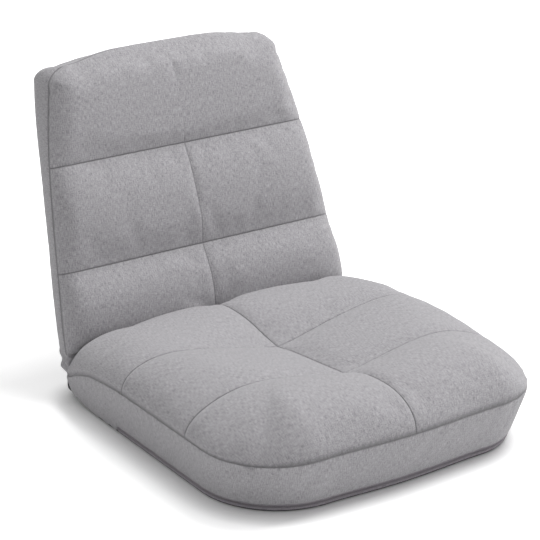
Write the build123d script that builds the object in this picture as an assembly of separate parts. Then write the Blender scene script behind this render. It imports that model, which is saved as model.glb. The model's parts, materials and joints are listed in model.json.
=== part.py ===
from build123d import *
import math
import os

# Folding floor chair. Millimetres, +Z up. The chair faces -Y, and +X is on the right of someone
# who looks at its front. The origin is the centre of the seat's foot on the floor.
# In the backrest's own frame, Z runs up the back from the hinge axis and -Y is its front.

# ---------------------------------------------------------------- driving dimensions
# Seat cover, in plan: the seam round the top of the boxing, and how far its foot lies inside it
SEAT_SEAM_HALF_WIDTH = 260.0
SEAT_SEAM_FRONT = 268.0
SEAT_SEAM_CORNER = 100.0
SEAT_SIDE_LEAN = 21.0
SEAT_FRONT_LEAN = 28.0
SEAT_FOOT_CORNER = 122.0
SEAT_REAR = 267.0
SEAT_REAR_CORNER = 40.0
FRONT_BOW = 10.0
BOW_FILLET_SHARE = 0.8

# Seat cover, in side view: the seam keeps its height, then drops in two runs to the hinge
SEAM_HEIGHT = 83.5
SEAM_LEVEL_END_TO_PIVOT = 153.0
SEAM_KNEE_TO_PIVOT = 98.0
SEAM_KNEE_DROP = 10.5
SEAM_END_TO_PIVOT = 5.0
SEAM_END_DROP = 41.5
HEEL_LENGTH = 85.0
HEEL_RISE = 14.0
HEEL_RADIUS = 26.0
BOXING_END_TO_PIVOT = 10.0

# Cloth and wadding
CLOTH = 1.2
BOXING_WALL = 3.0
SOFT_GAP = 0.3

# Seat quilting: each pair is how far the dished centre line and the side lobes stand over the seam
SEAT_FRONT_CHANNEL = -107.0
SEAT_MIDDLE_ROW_DEPTH = 165.0
PAD_END_TO_PIVOT = 4.0
SEAT_FRONT_ROLL = 80.0
SEAT_REAR_ROLL = 36.0
FRONT_CHANNEL_RISE = (27.5, 56.5)
REAR_CHANNEL_RISE = (8.5, 42.5)
FRONT_ROW_RISE = (46.5, 64.5)
MIDDLE_ROW_RISE = (19.5, 53.5)
REAR_ROW_RISE = (23.5, 44.5)
SEAT_ROLL_WIDTH = 72.0
SEAT_PANEL_BULGE = 9.0
CHANNEL_BULGE = 1.5

# Form of a stuffed row: how square its crown is, and how its rolled edges swell
CROWN_POWER = 2.6
LEAST_ROLL = 0.25
EDGE_KNEE_IN = 0.2
EDGE_KNEE_UP = 0.72

# Hinge axis and the lean of the back from upright
PIVOT_TO_REAR = 19.0
PIVOT_Z = 48.0
BACK_LEAN = 18.0

# Back cover, seen square to its front, from the hinge axis up
BACK_FOOT = 38.0
BACK_LOWER_ROW = 100.0
BACK_MIDDLE_ROW = 153.0
BACK_TOP_ROW = 102.0
BACK_SIDE_COVER = 19.0
BACK_TAPER = 38.0
BACK_SIDE_BULGE = 3.5
BACK_CORNER = 50.0
BACK_TOP_BOW = 5.0
BACK_REAR_FACE = 28.0
BACK_SEAM_FACE = 13.0

# Back quilting: each pair is how far the centre line and the side lobes stand over the seam
BACK_PAD_RISE = 7.0
BACK_TOP_ROLL = 46.0
BACK_FOOT_ROLL = 34.0
BACK_CHANNEL_RISE = (18.0, 20.5)
BACK_ROW_RISE = (26.0, 27.0)
BACK_ROLL_WIDTH = 34.0
BACK_PANEL_BULGE = 6.0

# Tube frame
TUBE_RADIUS = 9.5
TUBE_WALL = 1.4
CROSS_TUBE_RADIUS = 8.0
CROSS_TUBE_WALL = 1.2
FRAME_TO_SIDE = 13.0
FRAME_TO_FRONT = 28.0
SEAT_FRAME_CORNER = 70.0
SEAT_CROSS_TUBE_TO_PIVOT = 120.0
BACK_FRAME_BEND_START = 17.0
BACK_FRAME_TO_TOP = 30.0
BACK_FRAME_TO_SHOULDER = 21.0
BACK_FRAME_CORNER = 55.0
BACK_FRAME_BEND_RADIUS = 160.0
BACK_CROSS_TUBE = 128.0
FRAME_CLEARANCE = 0.3

# Webbing bands round the lower cross tube and the top bar
BAND_COUNT = 4
BAND_PITCH = 66.0
BAND_WIDTH = 40.0
BAND_THICKNESS = 1.5
BAND_CLEARANCE = 0.1

# Ratchet hinge
STEP_ANGLE = 7.2
STEP_COUNT = 14
TOOTH_TIP_RADIUS = 18.5
TOOTH_HEIGHT = 2.2
ARM_THICKNESS = 4.0
ARM_NECK = 16.0
CHEEK_MARGIN = 2.0
CHEEK_THICKNESS = 2.0
CHEEK_CLEARANCE = 0.25
PIVOT_RADIUS = 5.0
PIVOT_HEAD_RADIUS = 8.0
PIVOT_HEAD = 2.0
RUNNING_CLEARANCE = 0.05
SOCKET_START = 45.0
SOCKET_LENGTH = 50.0
SOCKET_WALL = 1.6
SOCKET_TAPER = 9.0
RIVET_RADIUS = 2.4
RIVET_HEAD_RADIUS = 4.2
RIVET_HEAD = 1.2
RIVET_INSET = 14.0
RIVET_PITCH = 24.0

# Pawl, its pin, its spring and the post that holds the spring
PAWL_REACH = 25.0
PAWL_DROP = 21.5
PAWL_PIN_RADIUS = 2.5
PAWL_BOSS_RADIUS = 5.0
PAWL_BAR = 4.4
PAWL_TIP_CLEARANCE = 0.2
PAWL_FACE_CLEARANCE = 0.5
PAWL_LIFT_ANGLE = 6.5
PAWL_LOBE_RADIUS = 7.0
SPRING_THICKNESS = 0.8
SPRING_WIDTH = 3.6
SPRING_REACH_SHARE = 0.7
SPRING_FOOT_BEND = 3.0
SPRING_BLADE_BEND = 20.0
POST_TO_PIN = 12.0
POST_RISE = 7.5
POST_RADIUS = 2.0

# Zip along the foot of the seat boxing
ZIP_END_Y = 107.0
TAPE_BOTTOM = 3.0
TAPE_WIDTH = 12.0
TAPE_THICKNESS = 0.9
COIL_WIDTH = 3.2
COIL_THICKNESS = 1.5
TRIM_GAP = 0.1
SLIDER_LENGTH = 10.0
SLIDER_WIDTH = 8.0
SLIDER_THICKNESS = 3.4
SLIDER_CLEARANCE = 0.5
SLIDER_REAR_CHAMFER = 1.0
BAIL_RADIUS = 0.7
BAIL_RISE = 2.4
PULL_LENGTH = 22.0
PULL_WIDTH = 5.0
PULL_THICKNESS = 1.4

# Cover cloth in the crease at the hinge
CREASE_BEND = 12.0

# ---------------------------------------------------------------- derived values
REACH = 1.5 * SEAT_SEAM_HALF_WIDTH
HALF = 0.5
SIDES = {"left": -1.0, "right": 1.0}
SEAT_FOOT_HALF_WIDTH = SEAT_SEAM_HALF_WIDTH - SEAT_SIDE_LEAN
SEAT_FOOT_FRONT = SEAT_SEAM_FRONT - SEAT_FRONT_LEAN
PIVOT_Y = SEAT_REAR - PIVOT_TO_REAR
SEAM_LEVEL_END = PIVOT_Y - SEAM_LEVEL_END_TO_PIVOT
SEAM_KNEE = PIVOT_Y - SEAM_KNEE_TO_PIVOT
SEAM_END = PIVOT_Y - SEAM_END_TO_PIVOT
HEEL_START = SEAT_REAR - HEEL_LENGTH
SEAT_REAR_CHANNEL = SEAT_FRONT_CHANNEL + SEAT_MIDDLE_ROW_DEPTH
SEAT_PAD_END = PIVOT_Y - PAD_END_TO_PIVOT
FRAME_HALF_WIDTH = SEAT_FOOT_HALF_WIDTH - FRAME_TO_SIDE
SEAT_FRAME_FRONT = SEAT_FOOT_FRONT - FRAME_TO_FRONT
SEAT_CROSS_TUBE_Y = PIVOT_Y - SEAT_CROSS_TUBE_TO_PIVOT
BACK_FOOT_HALF_WIDTH = FRAME_HALF_WIDTH + BACK_SIDE_COVER
BACK_SHOULDER_HALF_WIDTH = BACK_FOOT_HALF_WIDTH - BACK_TAPER
BACK_LOWER_CHANNEL = BACK_FOOT + BACK_LOWER_ROW
BACK_UPPER_CHANNEL = BACK_LOWER_CHANNEL + BACK_MIDDLE_ROW
BACK_SHOULDER = BACK_UPPER_CHANNEL + BACK_TOP_ROW
BACK_TOP = BACK_SHOULDER + BACK_CORNER + BACK_TOP_BOW
BACK_PAD_FOOT = BACK_FOOT + BACK_PAD_RISE
BACK_FRAME_BEND = SOCKET_START + SOCKET_LENGTH + BACK_FRAME_BEND_START
BACK_FRAME_TOP = BACK_TOP - BACK_FRAME_TO_TOP
BACK_FRAME_TOP_HALF_WIDTH = BACK_SHOULDER_HALF_WIDTH - BACK_FRAME_TO_SHOULDER
TOOTH_ROOT_RADIUS = TOOTH_TIP_RADIUS - TOOTH_HEIGHT
CHEEK_RADIUS = TOOTH_TIP_RADIUS + CHEEK_MARGIN
CHEEK_INNER = ARM_THICKNESS / 2 + CHEEK_CLEARANCE
CHEEK_OUTER = CHEEK_INNER + CHEEK_THICKNESS
SOCKET_RADIUS = TUBE_RADIUS + RUNNING_CLEARANCE + SOCKET_WALL
POCKET_HALF_WIDTH = SOCKET_RADIUS + RIVET_HEAD + SOFT_GAP
PAWL_PIN_Y = PIVOT_Y - PAWL_REACH
PAWL_PIN_Z = PIVOT_Z - PAWL_DROP
POST_Y = PAWL_PIN_Y - POST_TO_PIN
POST_Z = PAWL_PIN_Z + POST_RISE
TAPE_MIDDLE = TAPE_BOTTOM + TAPE_WIDTH / 2
BOXING_LEAN = math.degrees(math.atan2(SEAT_SIDE_LEAN, SEAM_HEIGHT))


# ---------------------------------------------------------------- helpers
def mix(start, end, share):
    """Value between start and end."""
    return start + (end - start) * share


def across(face, width):
    """Solid of a side-view face, centred across the width."""
    return extrude(Plane.YZ * face, amount=width / 2, both=True)


def side_prism(points, radii=None):
    """Solid across the whole width from an outline in the side view (y, z)."""
    if radii is None:
        outline = Polyline(*points, close=True)
    else:
        outline = FilletPolyline(*points, radius=radii, close=True)
    return across(make_face(outline), 2 * REACH)


def place_back(shape):
    """Move a shape from the backrest's own frame to its resting place."""
    return Pos(0, PIVOT_Y, PIVOT_Z) * Rot(-BACK_LEAN, 0, 0) * shape


def puff(share):
    """Crown of a stuffed row: 0 at its two sewn ends, 1 in the middle, steep at the ends."""
    return (1 - abs(2 * share - 1) ** CROWN_POWER) ** (1 / CROWN_POWER)


def roll(distance, length):
    """Quarter-ellipse roll at a free end, from a low lip at the end to 1 at its full height."""
    if distance >= length:
        return 1.0
    return max(LEAST_ROLL, math.sqrt(1 - (1 - distance / length) ** 2))


# ---------------------------------------------------------------- seat envelope
def seat_outline(half_width, front, corner, grow):
    """Plan outline with straight sides, round corners and a bowed front."""
    half_width += grow
    front += grow
    bow_angle = math.atan2(FRONT_BOW, half_width)
    bow_radius = BOW_FILLET_SHARE * (half_width - corner - grow) / math.tan(bow_angle)
    points = [
        (half_width, SEAT_REAR + grow),
        (-half_width, SEAT_REAR + grow),
        (-half_width, -front + FRONT_BOW),
        (0, -front),
        (half_width, -front + FRONT_BOW),
    ]
    rear_corner = SEAT_REAR_CORNER + grow
    radii = [rear_corner, rear_corner, corner + grow, bow_radius, corner + grow]
    return FilletPolyline(*points, radius=radii, close=True)


def seat_envelope(grow=0.0):
    """Body of the seat up to the seam, with its sides leaning outwards."""
    foot = make_face(seat_outline(SEAT_FOOT_HALF_WIDTH, SEAT_FOOT_FRONT, SEAT_FOOT_CORNER, grow))
    seam = make_face(seat_outline(SEAT_SEAM_HALF_WIDTH, SEAT_SEAM_FRONT, SEAT_SEAM_CORNER, grow))
    return loft([foot, Pos(0, 0, SEAM_HEIGHT) * seam], ruled=True)


def heel_round_top():
    """Height at which the heel's round runs into the upright rear wall."""
    slope = math.atan2(HEEL_RISE, HEEL_LENGTH)
    return HEEL_RISE + HEEL_RADIUS * math.tan((math.pi / 2 - slope) / 2)


def under_heel(lift, top=REACH):
    """Everything below and, up to top, behind the seat's underside, which turns up at the heel."""
    rear = SEAT_REAR - lift
    points = [
        (-REACH, lift),
        (HEEL_START, lift),
        (rear, HEEL_RISE + lift),
        (rear, top),
        (2 * REACH, top),
        (2 * REACH, -REACH),
        (-REACH, -REACH),
    ]
    return side_prism(points, [0, 0, HEEL_RADIUS - lift, 0, 0, 0, 0])


def seam_height(y):
    """Height of the boxing's seam, which drops towards the hinge."""
    if y <= SEAM_LEVEL_END:
        return SEAM_HEIGHT
    if y <= SEAM_KNEE:
        return SEAM_HEIGHT - SEAM_KNEE_DROP * (y - SEAM_LEVEL_END) / (SEAM_KNEE - SEAM_LEVEL_END)
    return SEAM_HEIGHT - mix(SEAM_KNEE_DROP, SEAM_END_DROP, (y - SEAM_KNEE) / (SEAM_END - SEAM_KNEE))


def below_seam(drop, front=-REACH, rear=SEAT_REAR):
    """Everything under the seam line, lowered by drop."""
    stations = [front, SEAM_LEVEL_END, SEAM_KNEE, rear]
    top = [(y, seam_height(y) - drop) for y in stations]
    return side_prism([(rear, -REACH), (front, -REACH)] + top)


def slab(low, high):
    """Horizontal slice between two heights."""
    on_base = (Align.CENTER, Align.CENTER, Align.MIN)
    return Pos(0, 0, low) * Box(4 * REACH, 4 * REACH, high - low, align=on_base)


# ---------------------------------------------------------------- tube frame
def hoop(points, radii, plane, radius):
    """Bent rod along a line of points with round bends."""
    path = plane * FilletPolyline(*points, radius=radii)
    section = Plane(origin=path @ 0, z_dir=path % 0) * Circle(radius)
    return sweep(section, path=path)


def seat_hoop(radius):
    """Rod along the seat frame's centre line."""
    end = PIVOT_Y - SOCKET_START - 2 * SOCKET_WALL
    points = [
        (-FRAME_HALF_WIDTH, end),
        (-FRAME_HALF_WIDTH, -SEAT_FRAME_FRONT),
        (FRAME_HALF_WIDTH, -SEAT_FRAME_FRONT),
        (FRAME_HALF_WIDTH, end),
    ]
    return hoop(points, [SEAT_FRAME_CORNER] * 2, Plane.XY.offset(PIVOT_Z), radius)


def back_hoop(radius):
    """Rod along the back frame's centre line, in the backrest's own frame."""
    end = SOCKET_START + 2 * SOCKET_WALL
    points = [
        (-FRAME_HALF_WIDTH, end),
        (-FRAME_HALF_WIDTH, BACK_FRAME_BEND),
        (-BACK_FRAME_TOP_HALF_WIDTH, BACK_FRAME_TOP),
        (BACK_FRAME_TOP_HALF_WIDTH, BACK_FRAME_TOP),
        (FRAME_HALF_WIDTH, BACK_FRAME_BEND),
        (FRAME_HALF_WIDTH, end),
    ]
    bend = BACK_FRAME_BEND_RADIUS
    corner = BACK_FRAME_CORNER
    return hoop(points, [bend, corner, corner, bend], Plane.XZ, radius)


def cross_rod(radius, length=2 * FRAME_HALF_WIDTH):
    """Rod along X through the origin."""
    return Rot(0, 90, 0) * Cylinder(radius, length)


def cross_tube():
    """Thin cross tube before its ends are coped to the hoop."""
    return cross_rod(CROSS_TUBE_RADIUS) - cross_rod(CROSS_TUBE_RADIUS - CROSS_TUBE_WALL, 2 * REACH)


def rivet_heights():
    """Heights of a socket's two rivets over the hinge axis."""
    first = SOCKET_START + RIVET_INSET
    return [first, first + RIVET_PITCH]


def socket_pins(radius, length):
    """Rivet shanks through a socket that runs along +Z from the hinge axis."""
    return [Pos(0, 0, height) * cross_rod(radius, length) for height in rivet_heights()]


def rivets():
    """Headed rivets of one socket that runs along +Z, with its tube centred on x = 0."""
    rivet = cross_rod(RIVET_RADIUS, 2 * SOCKET_RADIUS)
    for side in SIDES.values():
        head = cross_rod(RIVET_HEAD_RADIUS, RIVET_HEAD)
        rivet += Pos(side * (SOCKET_RADIUS + RIVET_HEAD / 2), 0, 0) * head
    return [Pos(0, 0, height) * rivet for height in rivet_heights()]


def to_seat_socket(shape):
    """Turn a socket that runs along +Z about the hinge axis to run along the seat frame."""
    return Pos(0, PIVOT_Y, PIVOT_Z) * Rot(90, 0, 0) * shape


# ---------------------------------------------------------------- ratchet hinge
def socket():
    """Tube socket along +Z from the hinge axis, tapered at its closed end."""
    end = SOCKET_START + SOCKET_LENGTH
    bore = TUBE_RADIUS + RUNNING_CLEARANCE
    floor = SOCKET_START + SOCKET_WALL
    neck = ARM_NECK / 2 - SOCKET_WALL
    outline = Polyline(
        (0, SOCKET_START - SOCKET_TAPER),
        (neck, SOCKET_START - SOCKET_TAPER),
        (SOCKET_RADIUS, SOCKET_START),
        (SOCKET_RADIUS, end),
        (bore, end),
        (bore, floor),
        (0, floor),
        close=True,
    )
    body = revolve(make_face(Plane.XZ * outline), axis=Axis.Z)
    for pin in socket_pins(RIVET_RADIUS + RUNNING_CLEARANCE, 4 * SOCKET_RADIUS):
        body -= pin
    return body


def tooth_outline():
    """Outline of the quadrant: saw teeth at the locking positions, smooth elsewhere.

    Angles are measured from +Y towards +Z in the backrest's own frame. A tooth's steep face
    meets the pawl straight below the axis when the back stands at one of its positions.
    """
    points = []
    for step in reversed(range(STEP_COUNT)):
        steep = math.radians(360 - STEP_ANGLE * step)
        for radius in (TOOTH_ROOT_RADIUS, TOOTH_TIP_RADIUS):
            points.append((radius * math.cos(steep), radius * math.sin(steep)))
    last = math.radians(360 + STEP_ANGLE)
    points.append((TOOTH_ROOT_RADIUS * math.cos(last), TOOTH_ROOT_RADIUS * math.sin(last)))
    return points


def back_arm():
    """Toothed quadrant with its neck and tube socket, centred on x = 0."""
    teeth = make_face(Polyline((0, 0), *tooth_outline(), close=True))
    web = Pos(0, SOCKET_START / 2) * Rectangle(ARM_NECK, SOCKET_START)
    profile = Circle(TOOTH_ROOT_RADIUS) + teeth + web - Circle(PIVOT_RADIUS + RUNNING_CLEARANCE)
    return across(profile, ARM_THICKNESS) + socket()


def cheek(side):
    """Cheek plate with half a tube socket; side is -1 for the plate on the low-x side."""
    disc = Pos(PIVOT_Y, PIVOT_Z) * Circle(CHEEK_RADIUS)
    pawl_lobe = Pos(PAWL_PIN_Y, PAWL_PIN_Z) * Circle(PAWL_LOBE_RADIUS)
    post_lobe = Pos(POST_Y, POST_Z) * Circle(PAWL_LOBE_RADIUS - POST_RADIUS)
    neck_end = PIVOT_Y - SOCKET_START + SOCKET_TAPER / 2
    neck = Pos(mix(neck_end, PIVOT_Y, HALF), PIVOT_Z) * Rectangle(PIVOT_Y - neck_end, ARM_NECK)
    profile = make_hull((disc + pawl_lobe + post_lobe + neck).edges())
    for y, z, radius in (
        (PIVOT_Y, PIVOT_Z, PIVOT_RADIUS),
        (PAWL_PIN_Y, PAWL_PIN_Z, PAWL_PIN_RADIUS),
        (POST_Y, POST_Z, POST_RADIUS),
    ):
        profile -= Pos(y, z) * Circle(radius)
    plate = Pos(side * CHEEK_INNER, 0, 0) * extrude(Plane.YZ * profile, amount=side * CHEEK_THICKNESS)
    half_space = Pos(side * REACH / 2, 0, 0) * Box(REACH, 2 * REACH, 2 * REACH)
    return plate + (to_seat_socket(socket()) & half_space)


def headed_pin(y, z, radius, head_radius, head):
    """Pin along X through both cheeks, with a head on each side."""
    pin = cross_rod(radius, 2 * CHEEK_OUTER)
    for side in SIDES.values():
        pin += Pos(side * (CHEEK_OUTER + head / 2), 0, 0) * cross_rod(head_radius, head)
    return Pos(0, y, z) * pin


def pawl():
    """Strut pawl in its resting place, lifted clear of the teeth."""
    bar_top = PAWL_PIN_Z + PAWL_BAR / 2
    ramp = TOOTH_TIP_RADIUS * math.radians(STEP_ANGLE)
    ramp_drop = TOOTH_HEIGHT * PAWL_FACE_CLEARANCE / ramp
    nose_top = PIVOT_Z - TOOTH_ROOT_RADIUS - ramp_drop - PAWL_TIP_CLEARANCE
    bar_bottom = PAWL_PIN_Z - PAWL_BAR / 2
    nose_front = PIVOT_Y - PAWL_FACE_CLEARANCE
    bar = Polyline(
        (PAWL_PIN_Y, bar_bottom),
        (nose_front, bar_bottom),
        (nose_front, nose_top),
        (nose_front - ramp, bar_top),
        (PAWL_PIN_Y, bar_top),
        close=True,
    )
    boss = Pos(PAWL_PIN_Y, PAWL_PIN_Z) * Circle(PAWL_BOSS_RADIUS)
    hole = Pos(PAWL_PIN_Y, PAWL_PIN_Z) * Circle(PAWL_PIN_RADIUS + RUNNING_CLEARANCE)
    profile = make_face(bar) + boss - hole
    engaged = across(profile, ARM_THICKNESS)
    return engaged.rotate(Axis((0, PAWL_PIN_Y, PAWL_PIN_Z), (1, 0, 0)), -PAWL_LIFT_ANGLE)


def pawl_spring():
    """Leaf spring from its post, round the pawl's boss and up under the bar."""
    low = PAWL_PIN_Z - PAWL_BOSS_RADIUS - SPRING_THICKNESS - SOFT_GAP
    reach = SPRING_REACH_SHARE * PAWL_REACH
    sag = reach * math.sin(math.radians(PAWL_LIFT_ANGLE)) + PAWL_BAR / 2
    tip = (PAWL_PIN_Y + reach, PAWL_PIN_Z - sag - SPRING_THICKNESS / 2 - SOFT_GAP)
    stem = POST_Y + POST_RADIUS + SPRING_THICKNESS / 2 + RUNNING_CLEARANCE
    points = [(stem, POST_Z + POST_RADIUS), (stem, low), (PAWL_PIN_Y, low), tip]
    line = FilletPolyline(*points, radius=[SPRING_FOOT_BEND, SPRING_BLADE_BEND])
    strip = trace(line, SPRING_THICKNESS)
    return across(strip, SPRING_WIDTH)


def hinge_pocket():
    """Room for one hinge in the soft parts of the seat, centred on x = 0."""
    end = PIVOT_Y - SOCKET_START - SOCKET_LENGTH - SOFT_GAP
    top = PIVOT_Z + CHEEK_RADIUS + SOFT_GAP
    bottom = PAWL_PIN_Z - PAWL_LOBE_RADIUS - SOFT_GAP
    socket_bottom = PIVOT_Z - SOCKET_RADIUS - SOFT_GAP
    run = side_prism([(end, socket_bottom), (REACH, socket_bottom), (REACH, top), (end, top)])
    well_start = POST_Y - PAWL_LOBE_RADIUS
    well = side_prism([(well_start, bottom), (REACH, bottom), (REACH, top), (well_start, top)])
    width = Box(2 * POCKET_HALF_WIDTH, 4 * REACH, 4 * REACH)
    return (run + well) & width


# ---------------------------------------------------------------- cushions
def quilted_section(plane, half_width, base, lobe, centre, roll_width, bulge):
    """Section of a quilted row: rolled edges and two panels that dip to the centre seam."""
    shoulder = half_width - roll_width
    knee = (half_width - EDGE_KNEE_IN * roll_width, mix(base, lobe, EDGE_KNEE_UP))
    crest = (shoulder / 2, mix(centre, lobe, HALF) + bulge)
    right = Line((-half_width, base), (half_width, base))
    right += ThreePointArc((half_width, base), knee, (shoulder, lobe))
    right += ThreePointArc((shoulder, lobe), crest, (0, centre))
    right += ThreePointArc((0, centre), (-crest[0], crest[1]), (-shoulder, lobe))
    right += ThreePointArc((-shoulder, lobe), (-knee[0], knee[1]), (-half_width, base))
    return plane * make_face(right)


def seat_half_width(y):
    """Half width of the seat at its seam."""
    share = seam_height(y) / SEAM_HEIGHT
    straight = mix(SEAT_FOOT_HALF_WIDTH, SEAT_SEAM_HALF_WIDTH, share)
    front_centre = -SEAT_SEAM_FRONT + FRONT_BOW + SEAT_SEAM_CORNER
    rear_centre = SEAT_REAR - SEAT_REAR_CORNER
    if y < front_centre - SEAT_SEAM_CORNER:
        flat = SEAT_SEAM_HALF_WIDTH - SEAT_SEAM_CORNER
        return flat * (y + SEAT_SEAM_FRONT) / FRONT_BOW
    if y < front_centre:
        return straight - SEAT_SEAM_CORNER + math.sqrt(SEAT_SEAM_CORNER**2 - (front_centre - y) ** 2)
    if y > rear_centre:
        return straight - SEAT_REAR_CORNER + math.sqrt(SEAT_REAR_CORNER**2 - (y - rear_centre) ** 2)
    return straight


def seat_section(y, centre, lobe, bulge):
    """Section of a seat row at depth y, rolled down at the seat's front and rear ends."""
    base = seam_height(y)
    end_roll = roll(y + SEAT_SEAM_FRONT, SEAT_FRONT_ROLL) * roll(SEAT_PAD_END - y, SEAT_REAR_ROLL)
    half_width = seat_half_width(y)
    roll_width = min(SEAT_ROLL_WIDTH, HALF * half_width)
    plane = Plane.XZ.offset(-y)
    top = mix(base, lobe, end_roll)
    middle = mix(base, centre, end_roll)
    return quilted_section(plane, half_width, base, top, middle, roll_width, bulge * end_roll)


def seat_row(stations, ends, crown):
    """Row of the seat through its stations; ends and crown are (centre, lobe) rises."""
    front, rear = stations[0], stations[-1]
    sections = []
    for y in stations:
        share = (y - front) / (rear - front)
        fill = puff(share)
        if front <= -SEAT_SEAM_FRONT + FRONT_BOW:
            fill = puff(HALF * (1 + share))
        heights = []
        for low, high, full in zip(ends[0], ends[1], crown):
            heights.append(SEAM_HEIGHT + mix(mix(low, high, share), full, fill))
        bulge = mix(CHANNEL_BULGE, SEAT_PANEL_BULGE, fill)
        sections.append(seat_section(y, heights[0], heights[1], bulge))
    return loft(sections, ruled=True)


def spread(start, end, shares):
    """Stations between two ends."""
    return [mix(start, end, share) for share in shares]


def back_half_width(height):
    """Half width of the back at its seam, in the backrest's own frame."""
    if height > BACK_SHOULDER:
        drop = height - BACK_SHOULDER
        arc = math.sqrt(max(BACK_CORNER**2 - drop**2, 0))
        if drop >= BACK_CORNER:
            flat = BACK_SHOULDER_HALF_WIDTH - BACK_CORNER
            return flat * (BACK_CORNER + BACK_TOP_BOW - drop) / BACK_TOP_BOW
        return BACK_SHOULDER_HALF_WIDTH - BACK_CORNER + arc
    share = (height - BACK_FOOT) / (BACK_SHOULDER - BACK_FOOT)
    bulge = 4 * BACK_SIDE_BULGE * share * (1 - share)
    return mix(BACK_FOOT_HALF_WIDTH, BACK_SHOULDER_HALF_WIDTH, share) + bulge


def back_section(height, fill):
    """Section of a back row; fill is 0 at a sewn channel and 1 at the row's crown."""
    end_roll = roll(BACK_TOP - height, BACK_TOP_ROLL) * roll(height - BACK_PAD_FOOT, BACK_FOOT_ROLL)
    centre = BACK_SEAM_FACE + mix(BACK_CHANNEL_RISE[0], BACK_ROW_RISE[0], fill) * end_roll
    lobe = BACK_SEAM_FACE + mix(BACK_CHANNEL_RISE[1], BACK_ROW_RISE[1], fill) * end_roll
    half_width = back_half_width(height)
    plane = Plane((0, 0, height), x_dir=(-1, 0, 0), z_dir=(0, 0, 1))
    roll_width = min(BACK_ROLL_WIDTH, HALF * half_width)
    bulge = mix(CHANNEL_BULGE, BACK_PANEL_BULGE, fill) * end_roll
    return quilted_section(plane, half_width, BACK_SEAM_FACE, lobe, centre, roll_width, bulge)


def back_row(stations, free_end=0.0):
    """Row of the back through its stations; a free end of +1 or -1 stays full there."""
    low, high = stations[0], stations[-1]
    sections = []
    for height in stations:
        share = (height - low) / (high - low)
        if free_end > 0:
            share = HALF * share
        if free_end < 0:
            share = HALF * (1 + share)
        sections.append(back_section(height, puff(share)))
    return loft(sections, ruled=True)


def back_outline(inset=0.0):
    """Outline of the back, seen square to its front: bowed sides, round shoulders, bowed top."""
    foot = BACK_FOOT_HALF_WIDTH - inset
    shoulder = BACK_SHOULDER_HALF_WIDTH - inset
    radius = BACK_CORNER - inset
    flat = shoulder - radius
    waist = (mix(foot, shoulder, HALF) + BACK_SIDE_BULGE, mix(BACK_FOOT, BACK_SHOULDER, HALF))
    knuckle = (flat + radius * math.sqrt(HALF), BACK_SHOULDER + radius * math.sqrt(HALF))
    brow = BACK_SHOULDER + radius
    edges = Line((-foot, BACK_FOOT), (foot, BACK_FOOT))
    edges += ThreePointArc((foot, BACK_FOOT), waist, (shoulder, BACK_SHOULDER))
    edges += ThreePointArc((shoulder, BACK_SHOULDER), knuckle, (flat, brow))
    edges += ThreePointArc((flat, brow), (0, brow + BACK_TOP_BOW), (-flat, brow))
    edges += ThreePointArc((-flat, brow), (-knuckle[0], knuckle[1]), (-shoulder, BACK_SHOULDER))
    edges += ThreePointArc((-shoulder, BACK_SHOULDER), (-waist[0], waist[1]), (-foot, BACK_FOOT))
    return make_face(Plane.XZ * edges)


def back_prism(rear, front, inset=0.0):
    """Solid of the back's outline between two depths; depth is measured towards the front."""
    return Pos(0, -rear, 0) * extrude(back_outline(inset), amount=front - rear, dir=(0, -1, 0))


# ---------------------------------------------------------------- webbing
def band_loop(grow):
    """Side outline of a band round the lower cross tube and the top bar."""
    inner = BAND_CLEARANCE - grow
    outer = BAND_CLEARANCE + BAND_THICKNESS + grow
    faces = []
    for margin in (outer, inner):
        low = Pos(0, BACK_CROSS_TUBE) * Circle(CROSS_TUBE_RADIUS + margin)
        high = Pos(0, BACK_FRAME_TOP) * Circle(TUBE_RADIUS + margin)
        faces.append(make_hull((low + high).edges()))
    return faces[0] - faces[1]


def bands(grow=0.0):
    """Webbing bands side by side, in the backrest's own frame."""
    loop = across(band_loop(grow), BAND_WIDTH + 2 * grow)
    first = -BAND_PITCH * (BAND_COUNT - 1) / 2
    return [Pos(first + BAND_PITCH * number, 0, 0) * loop for number in range(BAND_COUNT)]


# ---------------------------------------------------------------- zip
def zip_band(low, high, inner, outer):
    """Band round the front of the boxing between two heights and two offsets from it."""
    band = (seat_envelope(outer) - seat_envelope(inner)) & slab(low, high)
    front = Pos(0, ZIP_END_Y - REACH, 0) * Box(4 * REACH, 2 * REACH, 4 * REACH)
    return band & front


def on_right_side(shape):
    """Place a zip fitting on the outer face of the coil's tape, on the right side."""
    lean = SEAT_SIDE_LEAN * TAPE_MIDDLE / SEAM_HEIGHT
    face = SEAT_FOOT_HALF_WIDTH + lean + TRIM_GAP + TAPE_THICKNESS
    y = ZIP_END_Y - SLIDER_LENGTH
    return Pos(face, y, TAPE_MIDDLE) * Rot(0, BOXING_LEAN, 0) * shape


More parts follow.
